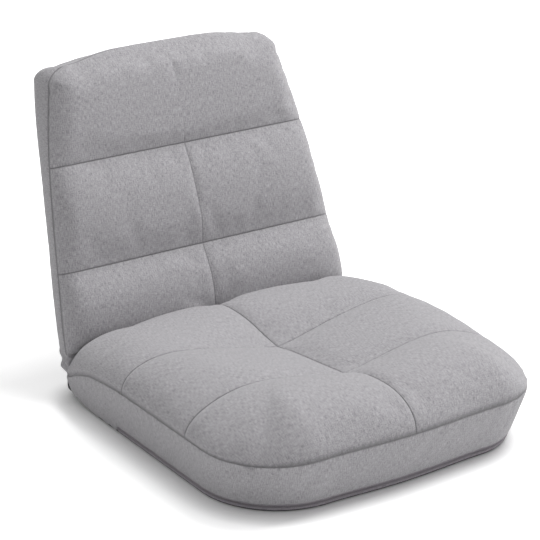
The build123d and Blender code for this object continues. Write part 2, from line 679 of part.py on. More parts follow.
def zip_slider():
    """Slider that straddles the coil, with a bail for the pull; +X is out from the tape."""
    length, width = SLIDER_LENGTH, SLIDER_WIDTH
    plan = Polyline(
        (-length / 2, -width / 2 + SLIDER_REAR_CHAMFER),
        (length / 4, -width / 2),
        (length / 2, -width / 4),
        (length / 2, width / 4),
        (length / 4, width / 2),
        (-length / 2, width / 2 - SLIDER_REAR_CHAMFER),
        close=True,
    )
    body = extrude(Plane.YZ * make_face(plan), amount=SLIDER_THICKNESS)
    body = Pos(SLIDER_CLEARANCE, 0, 0) * body
    channel_depth = COIL_THICKNESS + 2 * SLIDER_CLEARANCE
    channel_width = COIL_WIDTH + 2 * SLIDER_CLEARANCE
    body -= Pos(channel_depth / 2, 0, 0) * Box(channel_depth, 2 * length, channel_width)
    top = SLIDER_CLEARANCE + SLIDER_THICKNESS
    post = Box(BAIL_RISE + BAIL_RADIUS, 2 * BAIL_RADIUS, 2 * BAIL_RADIUS)
    for side in SIDES.values():
        body += Pos(top + (BAIL_RISE - BAIL_RADIUS) / 2, 0, side * width / 4) * post
    return body + Pos(top + BAIL_RISE, 0, 0) * Cylinder(BAIL_RADIUS, width / 2 + 2 * BAIL_RADIUS)


def zip_pull():
    """Pull tab lying along the boxing behind the slider, hinged on the slider's bail."""
    axis_x = SLIDER_CLEARANCE + SLIDER_THICKNESS + BAIL_RISE
    eye = Circle(BAIL_RISE - SLIDER_CLEARANCE) - Circle(BAIL_RADIUS + SLIDER_CLEARANCE / 2)
    eye_width = SLIDER_WIDTH / 2 - 2 * BAIL_RADIUS - SLIDER_CLEARANCE
    ring = extrude(eye, amount=eye_width / 2, both=True)
    start = BAIL_RADIUS + SLIDER_CLEARANCE
    tab = Pos(0, start + PULL_LENGTH / 2, 0) * Box(PULL_THICKNESS, PULL_LENGTH, PULL_WIDTH)
    tab = fillet(tab.edges().filter_by(Axis.X), PULL_WIDTH / 3)
    tab -= Pos(0, start + PULL_LENGTH - PULL_WIDTH / 2, 0) * cross_rod(PULL_WIDTH / 5, PULL_LENGTH)
    neck = Pos(0, start + PULL_WIDTH / 4, 0) * Box(PULL_THICKNESS, PULL_WIDTH / 2, eye_width)
    return Pos(axis_x, 0, 0) * (ring + tab + neck)


# ---------------------------------------------------------------- seat nodes
def seat_cloths(nodes):
    """Underside cloth and side boxing of the seat."""
    body = seat_envelope() - under_heel(0, heel_round_top() + TRIM_GAP)
    nodes["seat_base_cloth"] = body & under_heel(CLOTH) & slab(0, seam_height(SEAT_REAR))
    band = body - under_heel(CLOTH) - seat_envelope(-BOXING_WALL)
    nodes["seat_boxing"] = band & below_seam(0, rear=PIVOT_Y - BOXING_END_TO_PIVOT)


def seat_foams(nodes):
    """Two foam layers that hold the seat frame between them."""
    core = (seat_envelope(-BOXING_WALL) - under_heel(CLOTH)) & below_seam(0)
    core -= seat_hoop(TUBE_RADIUS + FRAME_CLEARANCE)
    core -= Pos(0, SEAT_CROSS_TUBE_Y, PIVOT_Z) * cross_rod(CROSS_TUBE_RADIUS + FRAME_CLEARANCE)
    for side in SIDES.values():
        core -= Pos(side * FRAME_HALF_WIDTH, 0, 0) * hinge_pocket()
    nodes["seat_foam_lower"] = core & slab(0, PIVOT_Z)
    nodes["seat_foam_upper"] = core & slab(PIVOT_Z, REACH)


def seat_pads(nodes):
    """Three quilted rows on top of the seat."""
    gap = SOFT_GAP / 2
    corner_y = -SEAT_SEAM_FRONT + FRONT_BOW + SEAT_SEAM_CORNER
    front = [-SEAT_SEAM_FRONT + FRONT_BOW / 2]
    for angle in (78, 62, 45, 25, 0):
        front.append(corner_y - SEAT_SEAM_CORNER * math.sin(math.radians(angle)))
    rim = SEAT_FRONT_CHANNEL - gap
    front += spread(corner_y, rim, (0.5, 0.8, 0.94, 1))
    row_shares = (0, 0.03, 0.1, 0.25, 0.5, 0.75, 0.9, 0.97, 1)
    nodes["seat_pad_front"] = seat_row(front, (FRONT_ROW_RISE, FRONT_CHANNEL_RISE), FRONT_ROW_RISE)
    middle = spread(SEAT_FRONT_CHANNEL + gap, SEAT_REAR_CHANNEL - gap, row_shares)
    ends = (FRONT_CHANNEL_RISE, REAR_CHANNEL_RISE)
    nodes["seat_pad_middle"] = seat_row(middle, ends, MIDDLE_ROW_RISE)
    start = SEAT_REAR_CHANNEL + gap
    rear = spread(start, SEAM_LEVEL_END, (0, 0.12, 0.4, 1)) + [SEAM_KNEE]
    rear += spread(SEAM_KNEE, SEAT_PAD_END, (0.4, 0.64, 0.8, 0.9, 1))
    pad = seat_row(rear, (REAR_CHANNEL_RISE, REAR_ROW_RISE), REAR_ROW_RISE)
    for side in SIDES.values():
        pad -= Pos(side * FRAME_HALF_WIDTH, 0, 0) * hinge_pocket()
    nodes["seat_pad_rear"] = pad


def seat_frame(nodes):
    """Bent hoop and coped cross tube of the seat, with its rivets."""
    tube = seat_hoop(TUBE_RADIUS) - seat_hoop(TUBE_RADIUS - TUBE_WALL)
    fasteners = []
    for side in SIDES.values():
        place = Pos(side * FRAME_HALF_WIDTH, 0, 0)
        for pin in socket_pins(RIVET_RADIUS + RUNNING_CLEARANCE, 4 * SOCKET_RADIUS):
            tube -= place * to_seat_socket(pin)
        fasteners += [place * to_seat_socket(rivet) for rivet in rivets()]
    nodes["seat_frame"] = tube
    nodes["seat_cross_tube"] = Pos(0, SEAT_CROSS_TUBE_Y, PIVOT_Z) * cross_tube() - seat_hoop(TUBE_RADIUS)
    nodes["seat_frame_rivets"] = Compound(children=fasteners)


def crease_cloths(nodes):
    """Cover cloth that closes the crease behind and in front of the hinge."""
    lean = math.radians(BACK_LEAN)

    def at_back(height, depth):
        """Side-view place of a point given in the backrest's own frame."""
        y = PIVOT_Y + height * math.sin(lean) - depth * math.cos(lean)
        return (y, PIVOT_Z + height * math.cos(lean) + depth * math.sin(lean))

    nose = (SEAT_REAR - CLOTH / 2, seam_height(SEAT_REAR) + SOFT_GAP)
    round_hinge = (PIVOT_Y + CHEEK_RADIUS + 2 * CLOTH, PIVOT_Z - 2 * CLOTH)
    belly = at_back(HALF * BACK_FOOT, -BACK_REAR_FACE + CLOTH)
    foot = at_back(BACK_FOOT - SOFT_GAP, -BACK_REAR_FACE + CLOTH / 2)
    rear = trace(FilletPolyline(nose, round_hinge, belly, foot, radius=CREASE_BEND), CLOTH)
    nodes["crease_cloth_rear"] = across(rear, 2 * (BACK_FOOT_HALF_WIDTH - BOXING_WALL))
    low = (SEAT_PAD_END + 2 * CLOTH, seam_height(SEAT_PAD_END) + SOFT_GAP)
    fold = at_back(BACK_FOOT - 2 * CLOTH, BACK_SEAM_FACE + 2 * CLOTH)
    high = at_back(BACK_PAD_FOOT - CLOTH, BACK_SEAM_FACE + CLOTH)
    front = trace(Polyline(low, fold, high), CLOTH)
    nodes["crease_cloth_front"] = across(front, 2 * (FRAME_HALF_WIDTH - POCKET_HALF_WIDTH))


def zip_parts(nodes):
    """Zip tape, coil, end stops, slider and pull."""
    outer = TRIM_GAP + TAPE_THICKNESS
    tape_top = TAPE_BOTTOM + TAPE_WIDTH
    nodes["zip_tape"] = zip_band(TAPE_BOTTOM, tape_top, TRIM_GAP, outer)
    coil_low = TAPE_MIDDLE - COIL_WIDTH / 2
    coil = zip_band(coil_low, coil_low + COIL_WIDTH, outer + TRIM_GAP / 2, outer + COIL_THICKNESS)
    nodes["zip_coil"] = coil
    nodes["zip_slider"] = on_right_side(zip_slider())
    nodes["zip_pull"] = on_right_side(zip_pull())


# ---------------------------------------------------------------- hinge nodes
def hinges(nodes):
    """Both ratchet hinges: cheeks, pivots, pawls, pins, springs and the back's arms."""
    posts = []
    for name, side in SIDES.items():
        place = Pos(side * FRAME_HALF_WIDTH, 0, 0)
        nodes[f"hinge_cheek_inner_{name}"] = place * cheek(-side)
        nodes[f"hinge_cheek_outer_{name}"] = place * cheek(side)
        pivot = headed_pin(PIVOT_Y, PIVOT_Z, PIVOT_RADIUS, PIVOT_HEAD_RADIUS, PIVOT_HEAD)
        nodes[f"hinge_pivot_{name}"] = place * pivot
        pin = headed_pin(PAWL_PIN_Y, PAWL_PIN_Z, PAWL_PIN_RADIUS, RIVET_HEAD_RADIUS, RIVET_HEAD)
        nodes[f"pawl_pin_{name}"] = place * pin
        post = headed_pin(POST_Y, POST_Z, POST_RADIUS, 2 * POST_RADIUS, RIVET_HEAD)
        posts.append(place * post)
        nodes[f"pawl_{name}"] = place * pawl()
        nodes[f"pawl_spring_{name}"] = place * pawl_spring()
        nodes[f"back_arm_{name}"] = place_back(place * back_arm())
    nodes["spring_posts"] = Compound(children=posts)


# ---------------------------------------------------------------- backrest nodes
def back_cloths(nodes):
    """Rear panel and side boxing of the back."""
    nodes["back_panel_cloth"] = back_prism(-BACK_REAR_FACE, -BACK_REAR_FACE + CLOTH)
    inner = back_prism(-BACK_REAR_FACE, BACK_SEAM_FACE, BOXING_WALL)
    nodes["back_boxing"] = back_prism(-BACK_REAR_FACE + CLOTH, BACK_SEAM_FACE) - inner


def back_foams(nodes):
    """Two foam layers that hold the back frame and its webbing between them."""
    core = back_prism(-BACK_REAR_FACE + CLOTH, BACK_SEAM_FACE, BOXING_WALL)
    core -= back_hoop(TUBE_RADIUS + FRAME_CLEARANCE)
    core -= Pos(0, 0, BACK_CROSS_TUBE) * cross_rod(CROSS_TUBE_RADIUS + FRAME_CLEARANCE)
    for band in bands(SOFT_GAP):
        core -= band
    depth = 2 * (SOCKET_RADIUS + SOFT_GAP)
    end = SOCKET_START + SOCKET_LENGTH + SOFT_GAP
    room = Box(2 * POCKET_HALF_WIDTH, depth, 2 * end)
    for side in SIDES.values():
        core -= Pos(side * FRAME_HALF_WIDTH, 0, 0) * room
    thickness = BACK_REAR_FACE + BACK_SEAM_FACE
    half = Box(4 * REACH, thickness, 4 * REACH)
    nodes["back_foam_rear"] = core & (Pos(0, thickness / 2, 0) * half)
    nodes["back_foam_front"] = core & (Pos(0, -thickness / 2, 0) * half)


def back_pads(nodes):
    """Three quilted rows on the front of the back."""
    gap = SOFT_GAP / 2
    row_shares = (0, 0.03, 0.1, 0.28, 0.5, 0.72, 0.9, 0.97, 1)
    lower = spread(BACK_PAD_FOOT, BACK_LOWER_CHANNEL - gap, (0, 0.06, 0.16, 0.36, 0.7, 0.88, 0.96, 1))
    nodes["back_pad_lower"] = back_row(lower, free_end=-1)
    middle = spread(BACK_LOWER_CHANNEL + gap, BACK_UPPER_CHANNEL - gap, row_shares)
    nodes["back_pad_middle"] = back_row(middle)
    top = spread(BACK_UPPER_CHANNEL + gap, BACK_SHOULDER, (0, 0.04, 0.14, 0.4, 0.75))
    for angle in (0, 25, 45, 62, 78):
        top.append(BACK_SHOULDER + BACK_CORNER * math.sin(math.radians(angle)))
    top.append(BACK_SHOULDER + BACK_CORNER + HALF * BACK_TOP_BOW)
    nodes["back_pad_top"] = back_row(top, free_end=1)


def back_frame(nodes):
    """Bent hoop and coped cross tube of the back, with its rivets and webbing."""
    tube = back_hoop(TUBE_RADIUS) - back_hoop(TUBE_RADIUS - TUBE_WALL)
    fasteners = []
    for side in SIDES.values():
        place = Pos(side * FRAME_HALF_WIDTH, 0, 0)
        for pin in socket_pins(RIVET_RADIUS + RUNNING_CLEARANCE, 4 * SOCKET_RADIUS):
            tube -= place * pin
        fasteners += [place * rivet for rivet in rivets()]
    nodes["back_frame"] = tube
    nodes["back_cross_tube"] = Pos(0, 0, BACK_CROSS_TUBE) * cross_tube() - back_hoop(TUBE_RADIUS)
    nodes["back_frame_rivets"] = Compound(children=fasteners)
    nodes["back_webbing"] = Compound(children=bands())


def build():
    """Build every node at its resting place."""
    nodes = {}
    seat_cloths(nodes)
    seat_foams(nodes)
    seat_pads(nodes)
    seat_frame(nodes)
    crease_cloths(nodes)
    zip_parts(nodes)
    backrest = {}
    back_cloths(backrest)
    back_foams(backrest)
    back_pads(backrest)
    back_frame(backrest)
    for name, shape in backrest.items():
        nodes[name] = place_back(shape)
    hinges(nodes)
    return nodes


os.makedirs("parts", exist_ok=True)
for node_name, node_shape in build().items():
    export_step(node_shape, f"parts/{node_name}.step")
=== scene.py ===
"""Folding floor chair: its quilted covers, side bands, zip and metal parts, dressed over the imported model."""

import json
import logging
import math
from dataclasses import dataclass, field
from enum import Enum
from typing import Callable, Sequence

import bpy
import numpy as np
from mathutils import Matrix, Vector
from mathutils.kdtree import KDTree


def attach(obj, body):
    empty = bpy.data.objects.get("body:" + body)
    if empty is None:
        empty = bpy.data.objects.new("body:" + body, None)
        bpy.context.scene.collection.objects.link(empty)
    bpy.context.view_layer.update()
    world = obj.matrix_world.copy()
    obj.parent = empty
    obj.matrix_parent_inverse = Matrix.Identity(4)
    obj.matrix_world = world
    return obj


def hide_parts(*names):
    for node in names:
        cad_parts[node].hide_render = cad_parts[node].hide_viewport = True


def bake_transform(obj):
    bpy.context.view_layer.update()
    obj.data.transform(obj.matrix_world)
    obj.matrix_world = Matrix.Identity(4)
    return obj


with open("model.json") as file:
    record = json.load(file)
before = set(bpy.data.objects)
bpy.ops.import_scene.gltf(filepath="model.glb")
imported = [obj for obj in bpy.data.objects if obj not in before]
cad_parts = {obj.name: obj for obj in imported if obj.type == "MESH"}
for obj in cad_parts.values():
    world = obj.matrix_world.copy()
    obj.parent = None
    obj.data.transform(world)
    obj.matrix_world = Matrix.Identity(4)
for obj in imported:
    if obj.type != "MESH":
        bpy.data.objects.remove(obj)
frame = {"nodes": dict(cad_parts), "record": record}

Array = np.ndarray
Curve = Callable[[Array], Array]

MM = 0.001
LOG = logging.getLogger("floor_chair")
SAME_PLACE = 1e-3  # millimetres


class Body(Enum):
    """Bodies of the chair that a piece can ride on."""

    SEAT = "seat"
    BACKREST = "backrest"


# ---------------------------------------------------------------- shape helpers
def monotone(places: Sequence[float], values: Sequence[float]) -> Curve:
    """Make a smooth curve through points that never overshoots them.

    Args:
        places: Rising positions of the points.
        values: Value at each position.

    Returns:
        Function that gives the curve's value at any position.
    """
    x, y = np.asarray(places, float), np.asarray(values, float)
    step = np.diff(x)
    slope = np.diff(y) / step
    tangent = np.zeros_like(y)
    tangent[0], tangent[-1] = slope[0], slope[-1]
    rising = slope[:-1] * slope[1:] > 0
    near, far = 2 * step[1:] + step[:-1], step[1:] + 2 * step[:-1]
    safe_a = np.where(rising, slope[:-1], 1.0)
    safe_b = np.where(rising, slope[1:], 1.0)
    tangent[1:-1] = np.where(rising, (near + far) / (near / safe_a + far / safe_b), 0.0)

    def value_at(query: Array) -> Array:
        """Value of the curve at a position."""
        q = np.clip(np.asarray(query, float), x[0], x[-1])
        k = np.clip(np.searchsorted(x, q) - 1, 0, len(step) - 1)
        t = (q - x[k]) / step[k]
        h = step[k]
        left = (1 + 2 * t) * (1 - t) ** 2 * y[k] + t * (1 - t) ** 2 * h * tangent[k]
        right = t * t * (3 - 2 * t) * y[k + 1] + t * t * (t - 1) * h * tangent[k + 1]
        return left + right

    return value_at


def shoulder(share: Array, power: Array | float = 2.3) -> Array:
    """Rise of a rolled edge: 0 at its seam, where it stands upright, and 1 on top."""
    t = np.clip(share, 0.0, 1.0)
    return (1 - (1 - t) ** power) ** (1 / power)


def pillow(distance: Array, reach: float, lip: float = 5.0, lip_share: float = 0.28) -> Array:
    """Fullness of a stuffed panel: 0 on a sewn line, 1 beyond its reach, with a tight lip at the line."""
    d = np.abs(distance)
    broad = np.sqrt(1 - (1 - np.clip(d / reach, 0, 1)) ** 2)
    tight = np.sqrt(1 - (1 - np.clip(d / lip, 0, 1)) ** 2)
    return (1 - lip_share) * broad + lip_share * tight


def arch(share: Array) -> Array:
    """Quarter-round rise from 0, where it stands upright, to 1."""
    return np.sqrt(1 - (1 - np.clip(share, 0, 1)) ** 2)


def smooth(share: Array) -> Array:
    """Smooth step from 0 to 1."""
    t = np.clip(share, 0.0, 1.0)
    return t * t * (3 - 2 * t)


def ripple(places: Array, seed: int, wavelength: float) -> Array:
    """Smooth irregular wave along a line, from about -1 to 1.

    Args:
        places: Positions along the line.
        seed: Fixed seed of the wave.
        wavelength: Mean length of a wave.

    Returns:
        Value of the wave at each position.
    """
    rng = np.random.default_rng(seed)
    total = np.zeros_like(places, dtype=float)
    for _ in range(7):
        length = wavelength * rng.uniform(0.6, 1.9)
        total += np.sin(2 * math.pi * places / length + rng.uniform(0, 2 * math.pi))
    return total / 3.2


SEAM_OFFSETS = (0.5, 1.2, 2.2, 3.6, 5.6, 8.2, 11.5, 15.5)


def graded(start: float, end: float, seams: Sequence[float], pitch: float, fine: bool) -> Array:
    """Stations between two ends, crowded at the sewn lines.

    Args:
        start: First station.
        end: Last station.
        seams: Stations of the sewn lines, which are kept exactly.
        pitch: Spacing away from the seams.
        fine: Whether to crowd stations at the seams.

    Returns:
        Rising stations.
    """
    offsets = SEAM_OFFSETS if fine else ()
    fixed = {round(start, 4), round(end, 4)}
    for seam in seams:
        fixed.add(round(seam, 4))
        for offset in offsets:
            for side in (-1, 1):
                if start < seam + side * offset < end:
                    fixed.add(round(seam + side * offset, 4))
    marks = sorted(fixed)
    stations = [marks[0]]
    for low, high in zip(marks, marks[1:]):
        count = max(1, int(round((high - low) / pitch)))
        stations.extend(low + (high - low) * (k + 1) / count for k in range(count))
    return np.array(stations)


def lengths_along(points: Array) -> Array:
    """Length of a polyline from its first corner to each corner."""
    return np.concatenate([[0], np.cumsum(np.linalg.norm(np.diff(points, axis=0), axis=1))])


def along(points: Array, stations: Array) -> Array:
    """Points of a polyline at lengths along it.

    Args:
        points: Corners of the polyline.
        stations: Lengths along it, as shares of its whole length.

    Returns:
        A point for each station.
    """
    lengths = lengths_along(points)
    wanted = stations * lengths[-1]
    return np.stack([np.interp(wanted, lengths, points[:, k]) for k in range(points.shape[1])], axis=1)


def near(x: Array, y: Array, spot: tuple[float, float], reach: float) -> Array:
    """Nearness to a place in plan: 1 on it, falling off over its reach."""
    return np.exp(-((x - spot[0]) ** 2 + (y - spot[1]) ** 2) / reach**2)


def linked(name: str, data: bpy.types.ID) -> bpy.types.Object:
    """A new object with its data, linked to the scene."""
    made = bpy.data.objects.new(name, data)
    bpy.context.scene.collection.objects.link(made)
    return made


# ---------------------------------------------------------------- skins
@dataclass
class Skin:
    """A cloth surface as points in millimetres, four-sided faces and a flat cloth place for each point."""

    points: Array
    quads: Array
    cloth: Array
    # Painted shade along the sewn lines, from 0 to 1 at each point; the cloth material darkens its colour by it.
    painted_crease_shade: Array | None = None

    def normals(self) -> Array:
        """Unit normal at each point, weighted by the faces round it."""
        corners = self.points[self.quads]
        face = np.cross(corners[:, 2] - corners[:, 0], corners[:, 3] - corners[:, 1])
        total = np.zeros_like(self.points)
        for k in range(4):
            np.add.at(total, self.quads[:, k], face)
        length = np.linalg.norm(total, axis=1, keepdims=True)
        return total / np.maximum(length, 1e-9)

    def turned(self, place: Callable[[Array], Array]) -> "Skin":
        """The skin with its points moved by a placing function."""
        return Skin(place(self.points), self.quads, self.cloth, self.painted_crease_shade)

    def flipped(self) -> "Skin":
        """The skin with its faces turned over."""
        return Skin(self.points, self.quads[:, ::-1], self.cloth, self.painted_crease_shade)

    def smoothed(self, values: Array, rounds: int) -> Array:
        """Values, a row for each point, spread over neighbouring points a number of times."""
        edges = np.concatenate([self.quads[:, [k, (k + 1) % 4]] for k in range(4)])
        count = np.zeros(len(self.points))
        np.add.at(count, edges[:, 0], 1)
        np.add.at(count, edges[:, 1], 1)
        for _ in range(rounds):
            total = np.zeros_like(values)
            np.add.at(total, edges[:, 0], values[edges[:, 1]])
            np.add.at(total, edges[:, 1], values[edges[:, 0]])
            values = 0.5 * values + 0.5 * total / count[:, None]
        return values

    def build(self, name: str) -> bpy.types.Object:
        """Make the Blender object, in metres, with its cloth places as a UV map.

        Args:
            name: Name of the piece.

        Returns:
            The object, linked to the scene.
        """
        mesh = bpy.data.meshes.new(name)
        mesh.from_pydata((self.points * MM).tolist(), [], self.quads.tolist())
        layer = mesh.uv_layers.new(name="cloth")
        loops = np.zeros(len(mesh.loops), np.int32)
        mesh.loops.foreach_get("vertex_index", loops)
        layer.data.foreach_set("uv", (self.cloth[loops] * MM).astype(np.float32).ravel())
        # The painted seam shade is stored as a point attribute that the cloth material reads.
        if self.painted_crease_shade is not None:
            shade = mesh.attributes.new("painted_crease_shade", "FLOAT", "POINT")
            shade.data.foreach_set("value", self.painted_crease_shade.astype(np.float32))
        mesh.polygons.foreach_set("use_smooth", [True] * len(mesh.polygons))
        mesh.update()
        return linked(name, mesh)


def strip(grid: Array, cloth: Array, painted_crease_shade: Array | None = None, closed: bool = False) -> Skin:
    """Skin over a grid of points.

    Args:
        grid: Rows by columns of points in millimetres.
        cloth: Rows by columns of flat cloth places.
        painted_crease_shade: Rows by columns of painted shade at the sewn lines, from 0 to 1.
        closed: Whether the last column joins the first.

    Returns:
        The skin, whose normal is rows across columns.
    """
    rows, columns = grid.shape[:2]
    index = np.arange(rows * columns).reshape(rows, columns)
    if closed:
        index = np.concatenate([index, index[:, :1]], axis=1)
    quads = np.stack([index[:-1, :-1], index[:-1, 1:], index[1:, 1:], index[1:, :-1]], axis=-1)
    return Skin(
        grid.reshape(-1, 3),
        quads.reshape(-1, 4),
        cloth.reshape(-1, 2),
        None if painted_crease_shade is None else painted_crease_shade.reshape(-1),
    )


@dataclass
class Rows:
    """Rows of a skin in the making: points, flat cloth places and the painted shade at the sewn lines for each point.
    """

    points: list[Array] = field(default_factory=list)
    places: list[Array] = field(default_factory=list)
    sewn: list[Array] = field(default_factory=list)

    def add(self, points: Array, place: Array, sewn: Array) -> None:
        """Add a row."""
        self.points.append(points)
        self.places.append(place)
        self.sewn.append(sewn)

    def skin(self, closed: bool = False) -> Skin:
        """The skin over all rows."""
        return strip(np.array(self.points), np.array(self.places), np.array(self.sewn), closed)


# ---------------------------------------------------------------- quilted panels
CORNER_POINTS = 60


@dataclass
class Outline:
    """Plan of a quilted panel, open at its near end: straight sides, two corners and a bowed far end.

    A plan point is (across, along), in millimetres.
    """

    half_width: Curve
    start: float
    corner_start: float
    corner_across: float
    corner_along: float
    bow: float
    square: float = 2.0

    def straight(self, first: float) -> Array:
        """Points of the straight part of the right edge, a millimetre apart."""
        reach = np.arange(first, self.corner_start, 1.0)
        return np.stack([self.half_width(reach), reach], axis=1)

    def right_side(self, last_row: float) -> Array:
        """Corners of the far part of the right edge, from last_row to the middle of the corner."""
        return np.concatenate([self.straight(last_row), self.corner(0.0, 0.5)])

    def corner(self, first: float, last: float) -> Array:
        """Points on the corner's ellipse between two shares of its quarter turn."""
        width = float(self.half_width(np.array(self.corner_start)))
        angle = np.linspace(first, last, CORNER_POINTS) * math.pi / 2
        across = width - self.corner_across * (1 - np.cos(angle))
        reach = self.corner_start + self.corner_along * np.sin(angle)
        return np.stack([across, reach], axis=1)

    def far_end(self) -> Array:
        """Right half of the far edge, from the middle of the corner to the centre line."""
        width = float(self.half_width(np.array(self.corner_start)))
        flat = width - self.corner_across
        across = np.linspace(flat, 0, 80)
        bowed = self.bow * (1 - np.abs(across / flat) ** self.square) ** 2
        end = np.stack([across, self.corner_start + self.corner_along + bowed], axis=1)
        return np.concatenate([self.corner(0.5, 1.0), end[1:]])

    def whole(self) -> Array:
        """Dense line of the right half of the outline."""
        side = self.straight(self.start - 60)
        return np.concatenate([side, self.corner(0.0, 1.0), self.far_end()[CORNER_POINTS:]])


@dataclass
class QuiltGrid:
    """Points of a quilted panel in plan: an inner block and a band of rings round its edge."""

    outer: Outline
    inner: Outline
    rows: Array
    columns: Array
    layers: Array
    corner_pitch: float
    plan: Array = field(init=False)
    quads: Array = field(init=False)
    block: Array = field(init=False)
    ring: Array = field(init=False)

    def __post_init__(self) -> None:
        """Lay the points out and join them into faces.

        The block's far part is filled between its last straight row and the inner outline's far end.
        """
        last = float(self.rows[-1])
        side_length = np.linalg.norm(np.diff(self.outer.right_side(last), axis=0), axis=1).sum()
        extra = max(3, int(round(side_length / self.corner_pitch)))
        shares = np.arange(1, extra + 1) / extra
        outer_edge = self._edge(self.outer, shares)
        inner_edge = self._edge(self.inner, shares)
        count, width = len(self.rows) + extra, len(self.columns)
        block = np.zeros((count, width, 2))
        half = self.inner.half_width(self.rows)
        block[: len(self.rows), :, 0] = half[:, None] * self.columns[None, :]
        block[: len(self.rows), :, 1] = self.rows[:, None]
        left = inner_edge[len(self.rows) - 1 : count]
        right = left * (-1, 1)
        near = block[len(self.rows) - 1]
        far = inner_edge[count - 1 : count - 1 + width]
        across = ((self.columns + 1) / 2)[None, :, None]
        depth = (np.arange(extra + 1) / extra)[:, None, None]
        patch = (1 - depth) * near[None] + depth * far[None]
        patch += (1 - across) * left[:, None] + across * right[:, None]
        low = (1 - across) * near[0] + across * near[-1]
        high = (1 - across) * far[0] + across * far[-1]
        patch -= (1 - depth) * low + depth * high
        block[len(self.rows) - 1 :] = patch
        self.block = np.arange(count * width).reshape(count, width)
        border = np.concatenate([self.block[:, 0], self.block[-1, 1:-1], self.block[::-1, -1]])
        rings = len(self.layers)
        share = self.layers[:, None, None]
        ring_plan = inner_edge[None] * (1 - share) + outer_edge[None] * share
        first = count * width
        ring_index = first + np.arange((rings - 1) * len(border)).reshape(rings - 1, len(border))
        self.ring = np.concatenate([border[None], ring_index])
        self.plan = np.concatenate([block.reshape(-1, 2), ring_plan[1:].reshape(-1, 2)])
        b, r = self.block, self.ring
        inside = np.stack([b[:-1, :-1], b[:-1, 1:], b[1:, 1:], b[1:, :-1]], axis=-1).reshape(-1, 4)
        round_it = np.stack([r[:-1, :-1], r[:-1, 1:], r[1:, 1:], r[1:, :-1]], axis=-1).reshape(-1, 4)
        self.quads = np.concatenate([inside, round_it])

    def _edge(self, outline: Outline, shares: Array) -> Array:
        """Border points from the near left round the far end to the near right.

        Args:
            outline: Outline that they lie on.
            shares: Shares of the way from the last straight row to the middle of the corner.

        Returns:
            A plan point for each border point.
        """
        last = float(self.rows[-1])
        straight = np.stack([outline.half_width(self.rows), self.rows], axis=1)
        corner = along(outline.right_side(last), shares)
        side = np.concatenate([straight, corner])
        half_count = len(self.columns) // 2
        middle = 1 - np.abs(self.columns[: half_count + 1])
        far = along(outline.far_end(), middle)
        left = side * (-1, 1)
        far_left = far * (-1, 1)
        far_right = far[::-1][1:]
        return np.concatenate([left[:-1], far_left, far_right[:-1], side[::-1]])


def edge_facts(plan: Array, outline: Outline) -> tuple[Array, Array]:
    """Distance from each plan point to the outline, and how far its nearest edge faces the far end.

    Args:
        plan: Plan points.
        outline: Outline of the panel.

    Returns:
        Distances, and shares that are 0 at a side and 1 at the far end.
    """
    line = outline.whole()
    points = np.abs(plan * (1, 0)) + plan * (0, 1)
    facing = np.gradient(line, axis=0)
    facing /= np.linalg.norm(facing, axis=1, keepdims=True)
    distance = np.zeros(len(points))
    share = np.zeros(len(points))
    chunk = 2000
    for first in range(0, len(points), chunk):
        part = points[first : first + chunk]
        gap = np.linalg.norm(part[:, None, :] - line[None], axis=2)
        nearest = gap.argmin(axis=1)
        distance[first : first + chunk] = gap[np.arange(len(part)), nearest]
        share[first : first + chunk] = facing[nearest, 0] ** 2
    return distance, share


@dataclass(frozen=True)
class Stuffing:
    """Cloth simulation that fills a panel between its sewn lines."""

    pressure: float = 4.0
    frames: int = 20
    cap: float = 5.0
    slack: float = 0.012

    def swell(self, name: str, skin: Skin, pinned: Array) -> Array:
        """Run the simulation on a coarse skin.

        Args:
            name: Name of the short-lived object.
            skin: Skin to swell, its points in millimetres.
            pinned: How firmly each point is held, from 0 to 1.

        Returns:
            Movement of each point in millimetres, capped in length.
        """
        piece = skin.build(name)
        group = piece.vertex_groups.new(name="sewn")
        for index, weight in enumerate(pinned):
            if weight > 0.01:
                group.add([index], float(weight), "REPLACE")
        cloth = piece.modifiers.new("swell", "CLOTH")
        settings = cloth.settings
        settings.vertex_group_mass = "sewn"
        settings.quality = 6
        settings.mass = 0.2
        settings.tension_stiffness = 22
        settings.compression_stiffness = 8
        settings.shear_stiffness = 4
        settings.bending_stiffness = 0.15
        settings.shrink_min = -self.slack
        settings.use_pressure = True
        settings.uniform_pressure_force = self.pressure
        settings.effector_weights.gravity = 0
        cloth.collision_settings.use_collision = False
        cloth.collision_settings.use_self_collision = False
        cloth.point_cache.frame_start = 1
        cloth.point_cache.frame_end = self.frames
        scene = bpy.context.scene
        for step in range(1, self.frames + 1):
            scene.frame_set(step)
        ready = piece.evaluated_get(bpy.context.evaluated_depsgraph_get())
        place = np.zeros(len(ready.data.vertices) * 3)
        ready.data.vertices.foreach_get("co", place)
        moved = place.reshape(-1, 3) / MM - skin.points
        mesh = piece.data
        bpy.data.objects.remove(piece)
        bpy.data.meshes.remove(mesh)
        scene.frame_set(1)
        length = np.linalg.norm(moved, axis=1, keepdims=True)
        LOG.info("%s: moved %.1f mm at most, %.1f mm on average", name, length.max(), length.mean())
        return moved * np.minimum(1.0, self.cap / np.maximum(length, 1e-6))


def spread(known: Array, values: Array, wanted: Array) -> Array:
    """Carry values from the points of one plan to those of another.

    Args:
        known: Plan points that have values.
        values: Value of each known point.
        wanted: Plan points to find values for.

    Returns:
        A smooth mean of the nearest known values for each wanted point.
    """
    tree = KDTree(len(known))
    for index, (x, y) in enumerate(known):
        tree.insert((x, y, 0.0), index)
    tree.balance()
    found = np.zeros((len(wanted), values.shape[1]))
    for row, (x, y) in enumerate(wanted):
        near = tree.find_n((x, y, 0.0), 7)
        weight = np.array([math.exp(-((distance / 6.0) ** 2)) + 1e-9 for _, _, distance in near])
        found[row] = weight @ values[[index for _, index, _ in near]] / weight.sum()
    return found


